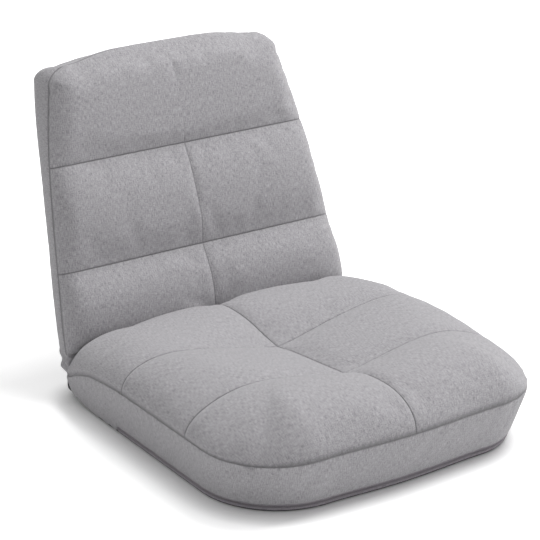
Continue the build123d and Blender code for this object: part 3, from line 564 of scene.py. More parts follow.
FINE_RINGS = (0, *SEAM_OFFSETS, 20, 25, 30.5, 36.5, 43)
COARSE_RINGS = (0, 5, 11, 19, 29)
FINE_PITCH, COARSE_PITCH = 4.2, 8.5
EASING_ROUNDS = 16
LIP_REACH, LIP_SETTLES = 6, 30


@dataclass
class Quilt:
    """A quilted panel: its outline, its sewn lines and the rule that gives its height."""

    outline: Outline
    inner: Outline
    channels: tuple[float, ...]
    centre_seam: Curve
    base_at: Callable[[Array, Array, Array], Array]
    seam_at: Curve
    fullness: float
    reach: float
    edge_reach: float
    lip: float
    band: float
    ends: tuple[float, float]
    straight_end: float
    puckered: tuple[tuple[float, float], ...] = ()
    # How deep the channels' lips are across the panel, and how strong their painted shade is.
    channel_depth_and_shade: Curve = np.ones_like
    unswollen: float = 0.55
    stuffing: Stuffing = Stuffing()

    def lay_out(self, fine: bool) -> QuiltGrid:
        """Plan grid, crowded at the sewn lines when fine, and coarse for the simulation."""
        pitch = FINE_PITCH if fine else COARSE_PITCH
        rows = graded(self.ends[0], self.straight_end, self.channels, pitch, fine)
        reach = float(self.inner.half_width(np.array(self.straight_end)))
        right = graded(0.0, reach, (0.0,), pitch, fine) / reach
        columns = np.concatenate([-right[:0:-1], right])
        edges = FINE_RINGS if fine else COARSE_RINGS
        layers = np.array([e for e in edges if e < self.band - 2] + [self.band])
        return QuiltGrid(self.outline, self.inner, rows, columns, (1 - layers / self.band)[::-1], pitch)

    def shape(self, grid: QuiltGrid, full: float = 1.0) -> tuple[Skin, Array]:
        """Stuffed surface over a plan grid.

        Args:
            grid: Plan grid to raise.
            full: Share of the whole fullness.

        Returns:
            Skin whose points are (across, along, height) and which carries painted shade at the sewn lines, and each
            point's distance from the nearest sewn line.
        """
        across, reach = grid.plan[:, 0], grid.plan[:, 1]
        distance, facing = edge_facts(grid.plan, self.outline)
        distance[np.unique(grid.ring[-1])] = 0.0
        height = self.base_at(across, reach, np.stack([distance, facing]))
        base = np.stack([across, reach, height], axis=1)
        skin = Skin(base, grid.quads, self.cloth_places(grid, base))
        eased = skin.smoothed(height[:, None], EASING_ROUNDS)[:, 0]
        height = height + (eased - height) * smooth((distance - 65) / 50)
        base[:, 2] = height
        eased = skin.smoothed(distance[:, None], EASING_ROUNDS)[:, 0]
        distance = distance + (eased - distance) * smooth((distance - 45) / 40)
        from_edge = np.hypot(distance, height - self.seam_at(reach))
        near_channel = np.full(len(reach), 1e3)
        for channel in self.channels:
            near_channel = np.minimum(near_channel, np.abs(reach - channel))
        strength = self.centre_seam(reach)
        depth = self.channel_depth_and_shade(across)
        broad = smooth(from_edge / self.edge_reach) * arch(near_channel / self.reach)
        broad = broad * (1 - strength * (1 - arch(np.abs(across) / self.reach)))
        lip = 1 - depth * (1 - arch(near_channel / LIP_REACH))
        lip = lip * (0.5 + 0.5 * arch(from_edge / LIP_SETTLES)) * arch(from_edge / LIP_REACH)
        lip = lip * (1 - strength * (1 - arch(np.abs(across) / LIP_REACH)))
        gathers = self.gathers(across, reach, from_edge, near_channel, facing)
        fill = full * self.fullness * broad + self.lip * lip + gathers
        lifted = base + skin.normals() * fill[:, None]
        # Painted shade in the sewn lines: it fades out within about 1.5 mm of a channel, the centre seam and the edge
        # seam; the channels' shade is scaled by their depth and the centre seam's by its strength.
        sewn = np.maximum(depth * (1 - near_channel / 1.5), strength * (1 - np.abs(across) / 1.3))
        sewn = np.maximum(sewn, 1 - from_edge / 1.5)
        free = np.minimum(from_edge, near_channel)
        free = np.minimum(free, np.abs(across) + 40 * (1 - smooth(strength * 1.6)))
        return Skin(lifted, grid.quads, skin.cloth, np.clip(sewn, 0, 1)), free

    def gathers(self, across: Array, reach: Array, from_edge: Array, near_channel: Array, facing: Array) -> Array:
        """Small puckers where the cloth is drawn in by a sewn line, stronger at the puckered places."""
        corner = np.zeros_like(reach)
        for spot, strength in zip(self.puckered, (1.0, 0.45)):
            corner = np.maximum(corner, strength * near(across, reach, spot, 58.0))
        edge = ripple(reach, 51, 15.0) * (1 - facing) + ripple(across, 52, 13.0) * facing
        edge = edge * smooth(from_edge / 3) * np.exp(-from_edge / 15) * (0.35 + 1.5 * corner)
        line = ripple(across, 53, 17.0) * smooth(near_channel / 3) * np.exp(-near_channel / 8) * 0.28
        return edge + line

    def stuffed(self, name: str) -> tuple[QuiltGrid, Skin]:
        """Args:
            name: Name of the simulation's short-lived object.

        Returns:
            The fine plan grid and its surface.
        """
        grid = self.lay_out(fine=True)
        coarse = self.lay_out(fine=False)
        start, coarse_free = self.shape(coarse, self.unswollen)
        moved = self.stuffing.swell(name, start, 1 - smooth(coarse_free / 9))
        skin, free = self.shape(grid, self.unswollen)
        swollen = spread(coarse.plan, moved, grid.plan) * smooth(free / 12)[:, None]
        skin.points = skin.points + skin.smoothed(swollen, 3) * smooth(free / 4)[:, None]
        return grid, skin

    def cloth_places(self, grid: QuiltGrid, points: Array) -> Array:
        """Flat cloth place of each point, from the lengths along the rows and columns."""
        places = np.zeros((len(points), 2))
        block = points[grid.block]
        row_step = np.linalg.norm(np.diff(block, axis=1), axis=2)
        width = np.concatenate([np.zeros((len(block), 1)), np.cumsum(row_step, axis=1)], axis=1)
        width -= width[:, width.shape[1] // 2][:, None]
        column_step = np.linalg.norm(np.diff(block, axis=0), axis=2)
        depth = np.concatenate([np.zeros((1, block.shape[1])), np.cumsum(column_step, axis=0)])
        places[grid.block] = np.stack([width, depth], axis=2)
        ring = points[grid.ring]
        plan = grid.plan[grid.ring]
        away = plan[-1] - plan[0]
        away /= np.linalg.norm(away, axis=1, keepdims=True)
        rise = np.cumsum(np.linalg.norm(np.diff(ring, axis=0), axis=2), axis=0)
        places[grid.ring[1:]] = places[grid.ring[0]][None] + away[None] * rise[:, :, None]
        return places


# ---------------------------------------------------------------- shader nodes
@dataclass
class Nodes:
    """Short way to add and join nodes in one tree."""

    tree: bpy.types.NodeTree

    def add(self, kind: str, **settings: object) -> bpy.types.Node:
        """Add a node and set its properties."""
        node = self.tree.nodes.new(kind)
        for name, value in settings.items():
            setattr(node, name, value)
        return node

    def feed(self, socket: bpy.types.NodeSocket, value: object) -> None:
        """Join a socket to another one, or give it a value."""
        if isinstance(value, bpy.types.NodeSocket):
            self.tree.links.new(value, socket)
        else:
            socket.default_value = value

    def math(self, operation: str, *values: object) -> bpy.types.NodeSocket:
        """Result of a Math node on sockets or numbers."""
        node = self.add("ShaderNodeMath", operation=operation)
        for socket, value in zip(node.inputs, values):
            self.feed(socket, value)
        return node.outputs[0]

    def plus(self, *values: object) -> bpy.types.NodeSocket:
        """Sum of two values."""
        return self.math("ADD", *values)

    def times(self, *values: object) -> bpy.types.NodeSocket:
        """Product of two values."""
        return self.math("MULTIPLY", *values)

    def noise(self, place: object, scale: float, detail: float) -> bpy.types.NodeSocket:
        """Value of a Noise Texture at a place."""
        node = self.add("ShaderNodeTexNoise")
        self.feed(node.inputs["Vector"], place)
        node.inputs["Scale"].default_value = scale
        node.inputs["Detail"].default_value = detail
        return node.outputs["Fac"]

    def stretched(self, place: object, scale: tuple[float, float, float]) -> bpy.types.NodeSocket:
        """A place with each axis scaled."""
        node = self.add("ShaderNodeMapping")
        self.feed(node.inputs["Vector"], place)
        node.inputs["Scale"].default_value = scale
        return node.outputs["Vector"]

    def ranged(self, value: object, low: float, high: float, to_low: float, to_high: float) -> bpy.types.NodeSocket:
        """A value mapped from one range to another and held inside it."""
        node = self.add("ShaderNodeMapRange")
        for socket, number in zip(node.inputs, (value, low, high, to_low, to_high)):
            self.feed(socket, number)
        return node.outputs[0]

    def mixed(self, share: object, first: object, second: object) -> bpy.types.NodeSocket:
        """Two colours mixed by a share."""
        node = self.add("ShaderNodeMix", data_type="RGBA")
        self.feed(node.inputs["Factor"], share)
        self.feed(node.inputs[6], first)
        self.feed(node.inputs[7], second)
        return node.outputs[2]

    def group(self, tree: bpy.types.NodeTree, values: dict[str, object]) -> bpy.types.Node:
        """A group node with its inputs fed."""
        node = self.add("ShaderNodeGroup")
        node.node_tree = tree
        for name, value in values.items():
            self.feed(node.inputs[name], value)
        return node

    def surface(
        self, shader: bpy.types.Node, colour: object, group: bpy.types.Node, bump: tuple[float, float]
    ) -> None:
        """Join a colour and a group's roughness and height to a shader.

        Args:
            shader: The shader.
            colour: Its colour.
            group: Group node with the outputs Roughness and Height.
            bump: Strength and distance of the bump, the distance in metres.
        """
        self.feed(shader.inputs["Base Color"], colour)
        self.feed(shader.inputs["Roughness"], group.outputs["Roughness"])
        raised = self.add("ShaderNodeBump")
        raised.inputs["Strength"].default_value, raised.inputs["Distance"].default_value = bump
        self.feed(raised.inputs["Height"], group.outputs["Height"])
        self.feed(shader.inputs["Normal"], raised.outputs[0])


def new_material(name: str) -> tuple[bpy.types.Material, Nodes, bpy.types.Node]:
    """A new material, a kit for its nodes and its main shader."""
    made = bpy.data.materials.new(name)
    made.use_nodes = True
    return made, Nodes(made.node_tree), made.node_tree.nodes["Principled BSDF"]


def group_tree(name: str, inputs: dict[str, tuple[str, object]], outputs: dict[str, str]) -> bpy.types.NodeTree:
    """Start a shader node group.

    Args:
        name: Name of the group.
        inputs: Socket kind and default of each named input.
        outputs: Socket kind of each named output.

    Returns:
        The group's tree.
    """
    tree = bpy.data.node_groups.new(name, "ShaderNodeTree")
    for label, (kind, default) in inputs.items():
        socket = tree.interface.new_socket(label, in_out="INPUT", socket_type=kind)
        if default is not None:
            socket.default_value = default
    for label, kind in outputs.items():
        tree.interface.new_socket(label, in_out="OUTPUT", socket_type=kind)
    return tree


def woven_group() -> bpy.types.NodeTree:
    """Group for a plain weave with mottled yarns and painted shade in the weave's low points, on the piece's own
    cloth places in metres.
    """
    colour, number, vector = "NodeSocketColor", "NodeSocketFloat", "NodeSocketVector"
    inputs = {
        "Cloth": (vector, None),
        "Light": (colour, (0.4, 0.4, 0.4, 1)),
        "Dark": (colour, (0.2, 0.2, 0.2, 1)),
        "Yarns per metre": (number, 1300.0),
        "Mottle": (number, 1.0),
    }
    tree = group_tree("woven_cloth", inputs, {"Color": colour, "Height": number, "Roughness": number})
    kit = Nodes(tree)
    given = kit.add("NodeGroupInput").outputs
    split = kit.add("ShaderNodeSeparateXYZ")
    kit.feed(split.inputs[0], given["Cloth"])
    turns = kit.times(given["Yarns per metre"], math.pi)
    warp_wave = kit.math("SINE", kit.times(split.outputs[0], turns))
    weft_wave = kit.math("SINE", kit.times(split.outputs[1], turns))
    over = kit.ranged(kit.times(warp_wave, weft_wave), -0.25, 0.25, 0.0, 1.0)
    warp_round = kit.math("ABSOLUTE", warp_wave)
    weft_round = kit.math("ABSOLUTE", weft_wave)
    height = kit.plus(kit.times(warp_round, over), kit.times(weft_round, kit.math("SUBTRACT", 1.0, over)))
    down, side, fleck, cloud = (
        kit.noise(kit.stretched(given["Cloth"], scale), 1.0, detail)
        for scale, detail in (((1150, 130, 1), 2.0), ((160, 1050, 1), 2.0), ((900, 900, 1), 1.0), ((60, 34, 1), 2.0))
    )
    yarns = kit.plus(kit.times(down, 0.50), kit.times(side, 0.34))
    yarns = kit.plus(yarns, kit.times(fleck, 0.16))
    yarns = kit.ranged(yarns, 0.36, 0.64, 0.0, 1.0)
    yarns = kit.plus(kit.times(yarns, 0.94), kit.times(cloud, 0.06))
    mottled = kit.times(kit.math("SUBTRACT", yarns, 0.5), given["Mottle"])
    # Mottle, plus painted shade in the weave: lighter on the raised yarns, darker in the low points between them.
    shade = kit.plus(kit.plus(mottled, 0.5), kit.times(kit.math("SUBTRACT", height, 0.6), 0.12))
    out = kit.add("NodeGroupOutput")
    kit.feed(out.inputs["Color"], kit.mixed(shade, given["Dark"], given["Light"]))
    kit.feed(out.inputs["Height"], kit.plus(height, kit.times(down, 0.8)))
    kit.feed(out.inputs["Roughness"], kit.ranged(yarns, 0.0, 1.0, 0.96, 0.86))
    return tree


def worn_group() -> bpy.types.NodeTree:
    """Group for fine scratches, blotches and dust on a hard surface, on Object coordinates."""
    colour, number, vector = "NodeSocketColor", "NodeSocketFloat", "NodeSocketVector"
    inputs = {
        "Place": (vector, None),
        "Base": (colour, (0.5, 0.5, 0.5, 1)),
        "Worn": (colour, (0.7, 0.7, 0.7, 1)),
        "Amount": (number, 0.5),
    }
    tree = group_tree("worn_surface", inputs, {"Color": colour, "Height": number, "Roughness": number})
    kit = Nodes(tree)
    given = kit.add("NodeGroupInput").outputs
    fine = kit.noise(kit.stretched(given["Place"], (900, 2600, 900)), 1.0, 4.0)
    blotch = kit.noise(given["Place"], 90.0, 4.0)
    mask = kit.ranged(kit.plus(kit.times(fine, 0.5), kit.times(blotch, 0.5)), 0.42, 0.66, 0.0, 1.0)
    share = kit.times(mask, given["Amount"])
    out = kit.add("NodeGroupOutput")
    kit.feed(out.inputs["Color"], kit.mixed(share, given["Base"], given["Worn"]))
    kit.feed(out.inputs["Height"], fine)
    kit.feed(out.inputs["Roughness"], kit.ranged(mask, 0.0, 1.0, 0.34, 0.55))
    return tree


class Groups:
    """Shader node groups that several finishes share, each built once."""

    _made: dict[str, bpy.types.NodeTree] = {}

    @classmethod
    def get(cls, name: str) -> bpy.types.NodeTree:
        """The named group, built on first use."""
        makers = {"woven_cloth": woven_group, "worn_surface": worn_group}
        if name not in cls._made:
            cls._made[name] = makers[name]()
        return cls._made[name]


Colour = tuple[float, float, float]


@dataclass(frozen=True)
class ClothFinish:
    """A woven or non-woven cloth, with painted shade along its sewn lines where it lies on cloth places."""

    name: str
    slot: str
    light: Colour
    dark: Colour
    yarns: float = 1300.0
    mottle: float = 1.0
    bump: float = 0.35
    depth: float = 0.0004
    sheen: float = 0.25
    # Strength of the painted shade at the sewn lines.
    painted_shade_strength: float = 0.7
    on_cloth: bool = True

    def material(self) -> bpy.types.Material:
        """The material, built once."""
        made = bpy.data.materials.get(self.name)
        if made:
            return made
        made, kit, shader = new_material(self.name)
        if self.on_cloth:
            place = kit.add("ShaderNodeUVMap", uv_map="cloth").outputs[0]
        else:
            place = kit.add("ShaderNodeTexCoord").outputs["Object"]
        given = {"Cloth": place, "Light": (*self.light, 1), "Dark": (*self.dark, 1)}
        given |= {"Yarns per metre": self.yarns, "Mottle": self.mottle}
        weave = kit.group(Groups.get("woven_cloth"), given)
        colour = weave.outputs["Color"]
        if self.on_cloth:
            # Painted shade at the sewn lines: the colour is mixed towards a darker copy of the dark yarn colour by
            # the seam shade attribute.
            painted_crease_shade = kit.add("ShaderNodeAttribute", attribute_name="painted_crease_shade").outputs["Fac"]
            deep = kit.times(painted_crease_shade, self.painted_shade_strength)
            colour = kit.mixed(deep, colour, (*(0.35 * c for c in self.dark), 1))
        kit.surface(shader, colour, weave, (self.bump, self.depth))
        shader.inputs["Sheen Weight"].default_value = self.sheen
        shader.inputs["Sheen Roughness"].default_value = 0.6
        shader.inputs["Specular IOR Level"].default_value = 0.15
        return made


@dataclass(frozen=True)
class HardFinish:
    """A metal, paint or plastic."""

    name: str
    slot: str
    base: Colour
    worn: Colour
    metallic: float = 0.0
    amount: float = 0.4
    bump: float = 0.12
    depth: float = 0.0002

    def material(self) -> bpy.types.Material:
        """The material, built once."""
        made = bpy.data.materials.get(self.name)
        if made:
            return made
        made, kit, shader = new_material(self.name)
        place = kit.add("ShaderNodeTexCoord").outputs["Object"]
        given = {"Place": place, "Base": (*self.base, 1), "Worn": (*self.worn, 1), "Amount": self.amount}
        worn = kit.group(Groups.get("worn_surface"), given)
        kit.surface(shader, worn.outputs["Color"], worn, (self.bump, self.depth))
        shader.inputs["Metallic"].default_value = self.metallic
        return made


Finish = ClothFinish | HardFinish

COVER = ClothFinish("cover_linen_look", "cover_fabric", (0.500, 0.488, 0.508), (0.205, 0.198, 0.211))
UNDERSIDE = ClothFinish(
    "underside_black",
    "underside_cloth",
    (0.035, 0.035, 0.037),
    (0.008, 0.008, 0.009),
    yarns=700.0,
    mottle=0.7,
    sheen=0.1,
)
TAPE = ClothFinish(
    "zip_tape_weave", "zip_tape", (0.40, 0.37, 0.41), (0.22, 0.20, 0.225), yarns=1600.0, bump=0.5, painted_shade_strength=0.4
)
FOAM = ClothFinish("open_foam", "foam", (0.82, 0.78, 0.64), (0.70, 0.64, 0.48), yarns=900.0, bump=0.8, on_cloth=False)
WEBBING = ClothFinish(
    "elastic_webbing", "webbing", (0.10, 0.10, 0.10), (0.02, 0.02, 0.02), yarns=500.0, bump=0.8, on_cloth=False
)
THREAD = ClothFinish(
    "cover_thread", "cover_fabric", (0.30, 0.29, 0.31), (0.16, 0.155, 0.165), yarns=2400.0, on_cloth=False
)
COIL = HardFinish("nylon_coil", "zip_coil", (0.24, 0.22, 0.24), (0.34, 0.32, 0.34), amount=0.5)
ZIP_METAL = HardFinish(
    "zip_slider_metal", "zip_metal", (0.20, 0.18, 0.20), (0.45, 0.43, 0.45), metallic=0.9, amount=0.5
)
FRAME_STEEL = HardFinish("frame_black_paint", "frame_steel", (0.025, 0.025, 0.026), (0.11, 0.10, 0.10), amount=0.35)
HINGE_STEEL = HardFinish(
    "hinge_zinc_steel", "hinge_steel", (0.52, 0.52, 0.53), (0.70, 0.69, 0.66), metallic=1.0, amount=0.5
)


# ---------------------------------------------------------------- chair sizes
@dataclass(frozen=True)
class ChairFrame:
    """Where the hinge is and how the back leans, in millimetres and degrees."""

    pivot_y: float = 248.0
    pivot_z: float = 48.0
    lean: float = 18.0
    seam_height: float = 83.5
    drawn_by: float = 6.5
    drawn_at: tuple[float, float] = (246.0, -203.0)
    drawn_reach: tuple[float, float] = (42.0, 40.0)

    def seat_place(self, points: Array) -> Array:
        """Seat panel points (across, forward, height) as chair points."""
        return self.drawn_in(np.stack([points[:, 0], -points[:, 1], points[:, 2]], axis=1))

    def drawn_in(self, points: Array) -> Array:
        """Seat points with the right front corner drawn in a little towards its seam."""
        x, y, z = np.moveaxis(points, -1, 0)
        (middle_x, middle_y), (reach_x, reach_y) = self.drawn_at, self.drawn_reach
        share = np.exp(-(((x - middle_x) / reach_x) ** 2) - ((y - middle_y) / reach_y) ** 2)
        share = share * np.clip(z / self.seam_height, 0, 1)
        return points - share[..., None] * (self.drawn_by, 0, 0)

    def back_place(self, points: Array) -> Array:
        """Back panel points (across, up the back, depth to the front) as chair points."""
        lean = math.radians(self.lean)
        rise, depth = points[:, 1], points[:, 2]
        y = self.pivot_y + rise * math.sin(lean) - depth * math.cos(lean)
        z = self.pivot_z + rise * math.cos(lean) + depth * math.sin(lean)
        return np.stack([points[:, 0], y, z], axis=1)


CHAIR = ChairFrame()


def put_on(piece: bpy.types.Object, finish: Finish, body: Body | None) -> bpy.types.Object:
    """Give a piece its finish and the body that it rides on.

    Args:
        piece: The piece.
        finish: Its finish.
        body: Its body, or None to leave it unattached.

    Returns:
        The piece.
    """
    piece.data.materials.clear()
    piece.data.materials.append(finish.material())
    if body is not None:
        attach(piece, body.value)
    LOG.info("%s: %d faces, %s", piece.name, len(piece.data.polygons), finish.name)
    return piece


# ---------------------------------------------------------------- repeats
@dataclass(frozen=True)
class Repeat:
    """Copies of a small part laid along lines by Geometry Nodes."""

    name: str
    size: tuple[float, float, float]
    spacing: float
    jitter: float
    seed: int
    sides: int = 8

    def part(self) -> bpy.types.Object:
        """One copy: a bar with rounded ends along its own X, in metres."""
        long, wide, high = (0.5 * MM * s for s in self.size)
        ring = np.linspace(0, 2 * math.pi, self.sides + 1)[:-1]
        rows = [(-1.0, 0.05), (-0.92, 0.62), (-0.6, 1.0), (0.0, 1.12), (0.6, 1.0), (0.92, 0.62), (1.0, 0.05)]
        points = []
        for along_it, thick in rows:
            sag = -0.25 * high * along_it**2
            for angle in ring:
                side, up = math.cos(angle) * wide * thick, math.sin(angle) * high * thick + sag
                points.append((long * along_it, side, up))
        count = self.sides
        faces = [
            (low + k, low + count + k, low + count + (k + 1) % count, low + (k + 1) % count)
            for low in range(0, (len(rows) - 1) * count, count)
            for k in range(count)
        ]
        faces += [tuple(range(count)), tuple(range(len(points) - 1, len(points) - count - 1, -1))]
        mesh = bpy.data.meshes.new(self.name + "_part")
        mesh.from_pydata(points, [], faces)
        mesh.polygons.foreach_set("use_smooth", [True] * len(mesh.polygons))
        return linked(self.name + "_part", mesh)

    def tree(self) -> bpy.types.NodeTree:
        """Geometry Nodes tree: resample the lines, lay the parts, turn them to the line, realise them."""
        made = bpy.data.node_groups.get(self.name)
        if made:
            return made
        tree = bpy.data.node_groups.new(self.name, "GeometryNodeTree")
        sockets = (
            ("Lines", "NodeSocketGeometry"),
            ("Part", "NodeSocketObject"),
            ("Spacing", "NodeSocketFloat"),
            ("Jitter", "NodeSocketFloat"),
            ("Seed", "NodeSocketInt"),
            ("Finish", "NodeSocketMaterial"),
        )
        for label, kind in sockets:
            tree.interface.new_socket(label, in_out="INPUT", socket_type=kind)
        tree.interface.new_socket("Pieces", in_out="OUTPUT", socket_type="NodeSocketGeometry")
        kit = Nodes(tree)
        given = kit.add("NodeGroupInput").outputs
        curve = kit.add("GeometryNodeMeshToCurve")
        kit.feed(curve.inputs["Mesh"], given["Lines"])
        spaced = kit.add("GeometryNodeResampleCurve", mode="LENGTH")
        kit.feed(spaced.inputs["Curve"], curve.outputs[0])
        kit.feed(spaced.inputs["Length"], given["Spacing"])
        outward = kit.add("GeometryNodeInputNamedAttribute", data_type="FLOAT_VECTOR")
        outward.inputs["Name"].default_value = "outward"
        up = kit.add("FunctionNodeAlignRotationToVector", axis="Z")
        kit.feed(up.inputs["Vector"], outward.outputs["Attribute"])
        ahead = kit.add("FunctionNodeAlignRotationToVector", axis="X", pivot_axis="Z")
        kit.feed(ahead.inputs["Rotation"], up.outputs[0])
        kit.feed(ahead.inputs["Vector"], kit.add("GeometryNodeInputTangent").outputs[0])
        part = kit.add("GeometryNodeObjectInfo")
        kit.feed(part.inputs["Object"], given["Part"])
        varied = kit.add("FunctionNodeRandomValue", data_type="FLOAT")
        kit.feed(varied.inputs[2], kit.math("SUBTRACT", 1.0, given["Jitter"]))
        kit.feed(varied.inputs[3], kit.plus(1.0, given["Jitter"]))
        kit.feed(varied.inputs["Seed"], given["Seed"])
        laid = kit.add("GeometryNodeInstanceOnPoints")
        kit.feed(laid.inputs["Points"], spaced.outputs[0])
        kit.feed(laid.inputs["Instance"], part.outputs["Geometry"])
        kit.feed(laid.inputs["Rotation"], ahead.outputs[0])
        kit.feed(laid.inputs["Scale"], varied.outputs[1])
        real = kit.add("GeometryNodeRealizeInstances")
        kit.feed(real.inputs[0], laid.outputs[0])
        finish = kit.add("GeometryNodeSetMaterial")
        kit.feed(finish.inputs["Geometry"], real.outputs[0])
        kit.feed(finish.inputs["Material"], given["Finish"])
        kit.feed(kit.add("NodeGroupOutput").inputs["Pieces"], finish.outputs[0])
        return tree

    def lay(
        self, name: str, lines: Sequence[tuple[Array, Array]], finish: Finish, body: Body | None
    ) -> bpy.types.Object:
        """Lay the parts along lines and return them as one plain mesh.

        Args:
            name: Name of the piece.
            lines: Points and outward directions of each line, in millimetres.
            finish: Its finish.
            body: Its body, or None to leave it unattached.

        Returns:
            The piece, linked to the scene.
        """
        points = np.concatenate([line for line, _ in lines])
        outward = np.concatenate([out for _, out in lines])
        edges, first = [], 0
        for line, _ in lines:
            edges += [(first + k, first + k + 1) for k in range(len(line) - 1)]
            first += len(line)
        mesh = bpy.data.meshes.new(name + "_lines")
        mesh.from_pydata((points * MM).tolist(), edges, [])
        layer = mesh.attributes.new("outward", "FLOAT_VECTOR", "POINT")
        layer.data.foreach_set("vector", outward.astype(np.float32).ravel())
        guide = linked(name + "_lines", mesh)
        part = self.part()
        modifier = guide.modifiers.new("lay", "NODES")
        tree = self.tree()
        modifier.node_group = tree
        values = {
            "Part": part,
            "Spacing": self.spacing * MM,
            "Jitter": self.jitter,
            "Seed": self.seed,
            "Finish": finish.material(),
        }
        for item in tree.interface.items_tree:
            if item.item_type == "SOCKET" and item.in_out == "INPUT" and item.name in values:
                modifier[item.identifier] = values[item.name]
        ready = guide.evaluated_get(bpy.context.evaluated_depsgraph_get())
        pieces = bpy.data.meshes.new_from_object(ready)
        pieces.name = name
        piece = linked(name, pieces)
        bpy.data.objects.remove(guide)
        bpy.data.objects.remove(part)
        return put_on(piece, finish, body)


STITCHES = Repeat("stitches", size=(2.6, 0.55, 0.5), spacing=3.6, jitter=0.08, seed=7)
COIL_TURNS = Repeat("zip_turns", size=(1.1, 3.2, 1.5), spacing=1.55, jitter=0.03, seed=8)


@dataclass
class SeatCover:
    """Quilted top of the seat: front and middle rows, and the rear row that runs down into the fold between seat and
    backrest.
    """

    half_width: float = 260.0
    foot_half_width: float = 239.0
    front: float = 261.5
    bow: float = 6.0
    corner: float = 110.0
    rear: float = 244.0
    channels: tuple[float, float] = (58.0, -107.0)
    front_roll: float = 80.0
    corner_roll: float = 150.0
    rear_roll: float = 58.0
    right_drop: float = 15.0
    drop_at: tuple[float, float] = (238.0, -172.0)
    drop_reach: float = 62.0
    turn_start: float = 227.0
    turn_radius: float = 40.0
    fullness: float = 6.5
    lip: float = 1.8
    reach: float = 70.0
    band: float = 46.0

    def seam_height(self, y: Array) -> Array:
        """Height of the boxing's seam along the side."""
        places = (-400, 58, 95, 128, 148, 178, 208, 227, 260)
        return monotone(places, (83.5, 83.3, 81, 77, 74, 65, 53, 44, 38))(y)

    def side(self, inset: float) -> Curve:
        """Half width of the seam, less an inset, by the forward place."""

        def width(forward: Array) -> Array:
            """Half width at a forward place."""
            y = -np.asarray(forward, float)
            share = self.seam_height(y) / CHAIR.seam_height
            straight = self.foot_half_width + (self.half_width - self.foot_half_width) * share
            turn = np.clip(y - self.turn_start, 0, self.turn_radius - 1)
            return straight - self.turn_radius + np.sqrt(self.turn_radius**2 - turn**2) - inset

        return width

    def outline(self, inset: float) -> Outline:
        """Outline of the seam, drawn in by an inset."""
        corner = self.corner - inset
        bow = self.bow * (1 - inset / 200)
        return Outline(self.side(inset), -self.rear, self.front - self.corner, corner, corner, bow)

    def base(self, across: Array, forward: Array, edge: Array) -> Array:
        """Height of the sewn lines' surface."""
        y = -forward
        centre = monotone(
            (-280, -231, -198, -164, -135, -107, -64, -23, 15, 58, 89, 118, 144, 170, 244),
            (131, 131, 130.5, 128.5, 120, 111, 105, 101, 97, 91, 95, 101.5, 106, 107.5, 107.5),
        )(y)
        lobe = monotone(
            (-280, -200, -150, -107, -60, -25, 58, 110, 141, 171, 203, 244),
            (138, 142, 142, 140, 134, 131, 126.5, 121, 117, 113, 107, 98),
        )(y)
        rise = monotone(
            (0, 20, 40, 92, 146, 180, 214, 300),
            (0, 0.07, 0.2, 0.56, 0.85, 0.97, 1.0, 1.0),
        )(np.abs(across))
        top = centre + (lobe - centre) * rise
        (drop_x, drop_y), reach = self.drop_at, self.drop_reach
        top = top - self.right_drop * np.exp(-(((across - drop_x) / reach) ** 2) - ((y - drop_y) / reach) ** 2)
        seam = self.seam_height(y)
        side_roll = monotone((-200, -145, -107, -60, -25, 58, 244), (176, 172, 150, 114, 94, 84, 68))(y)
        turn = 4 * edge[1] * (1 - edge[1])
        roll = side_roll + (self.front_roll - side_roll) * smooth(edge[1])
        roll = roll + (self.corner_roll - roll) * turn
        power = monotone((-200, -145, -107, -60, 58), (1.8, 1.9, 2.0, 2.2, 2.3))(y)
        power = power + (2.3 - power) * smooth(edge[1] * 2 - 1)
        lift = shoulder(edge[0] / roll, power) * shoulder((self.rear - y) / self.rear_roll)
        return seam + (top - seam) * lift

    def quilt(self) -> Quilt:
        """The whole seat's quilted panel."""
        forward = tuple(sorted(-c for c in self.channels))
        return Quilt(
            outline=self.outline(0.0),
            inner=self.outline(self.band),
            channels=forward,
            centre_seam=lambda f: np.ones_like(f),
            base_at=self.base,
            seam_at=lambda f: self.seam_height(-f),
            fullness=self.fullness,
            reach=self.reach,
            edge_reach=150.0,
            lip=self.lip,
            band=self.band,
            ends=(-self.rear, self.front),
            straight_end=124.0,
            puckered=((-222.0, 222.0), (222.0, 236.0)),
            # Channel lips and painted channel shade: strongest at the left end, weakest just left of the middle.
            channel_depth_and_shade=monotone(
                (-260, -200, -165, -130, -40, 0, 40, 260),
                (1, 1, 0.75, 0.3, 0.2, 0.7, 0.6, 0.6),
            ),
        )

    def build(self) -> None:
        """Build the seat's top cover and its stitches."""
        quilt = self.quilt()
        grid, skin = quilt.stuffed("seat_stuffing")
        placed = skin.turned(CHAIR.seat_place).flipped()
        split = grid.plan[:, 1]
        edge = -self.channels[0]
        front = take_part(placed, split >= edge - SAME_PLACE)
        rear = take_part(placed, split <= edge + SAME_PLACE)
        cover = put_on(front.build("seat_cover"), COVER, Body.SEAT)
        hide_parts("seat_pad_front", "seat_pad_middle")
        row = put_on(rear.build("seat_rear_row"), COVER, None)
        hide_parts("seat_pad_rear", "crease_cloth_front")
        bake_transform(row)
        lines = sewn_lines(grid, quilt, placed)
        front_end = self.channels[0] + 4
        on_front = [line for line in lines if line[0][:, 1].max() < front_end]
        on_row = [line for line in lines if line[0][:, 1].max() >= front_end]
        STITCHES.lay("seat_stitches", on_front, THREAD, Body.SEAT)
        sewn = STITCHES.lay("seat_row_stitches", on_row, THREAD, None)
        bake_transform(sewn)


def take_part(skin: Skin, keep: Array) -> Skin:
    """The part of a skin whose faces have all their points kept."""
    quads = skin.quads[keep[skin.quads].all(axis=1)]
    used = np.unique(quads)
    index = np.zeros(len(skin.points), int)
    index[used] = np.arange(len(used))
    painted_crease_shade = None if skin.painted_crease_shade is None else skin.painted_crease_shade[used]
    return Skin(skin.points[used], index[quads], skin.cloth[used], painted_crease_shade)


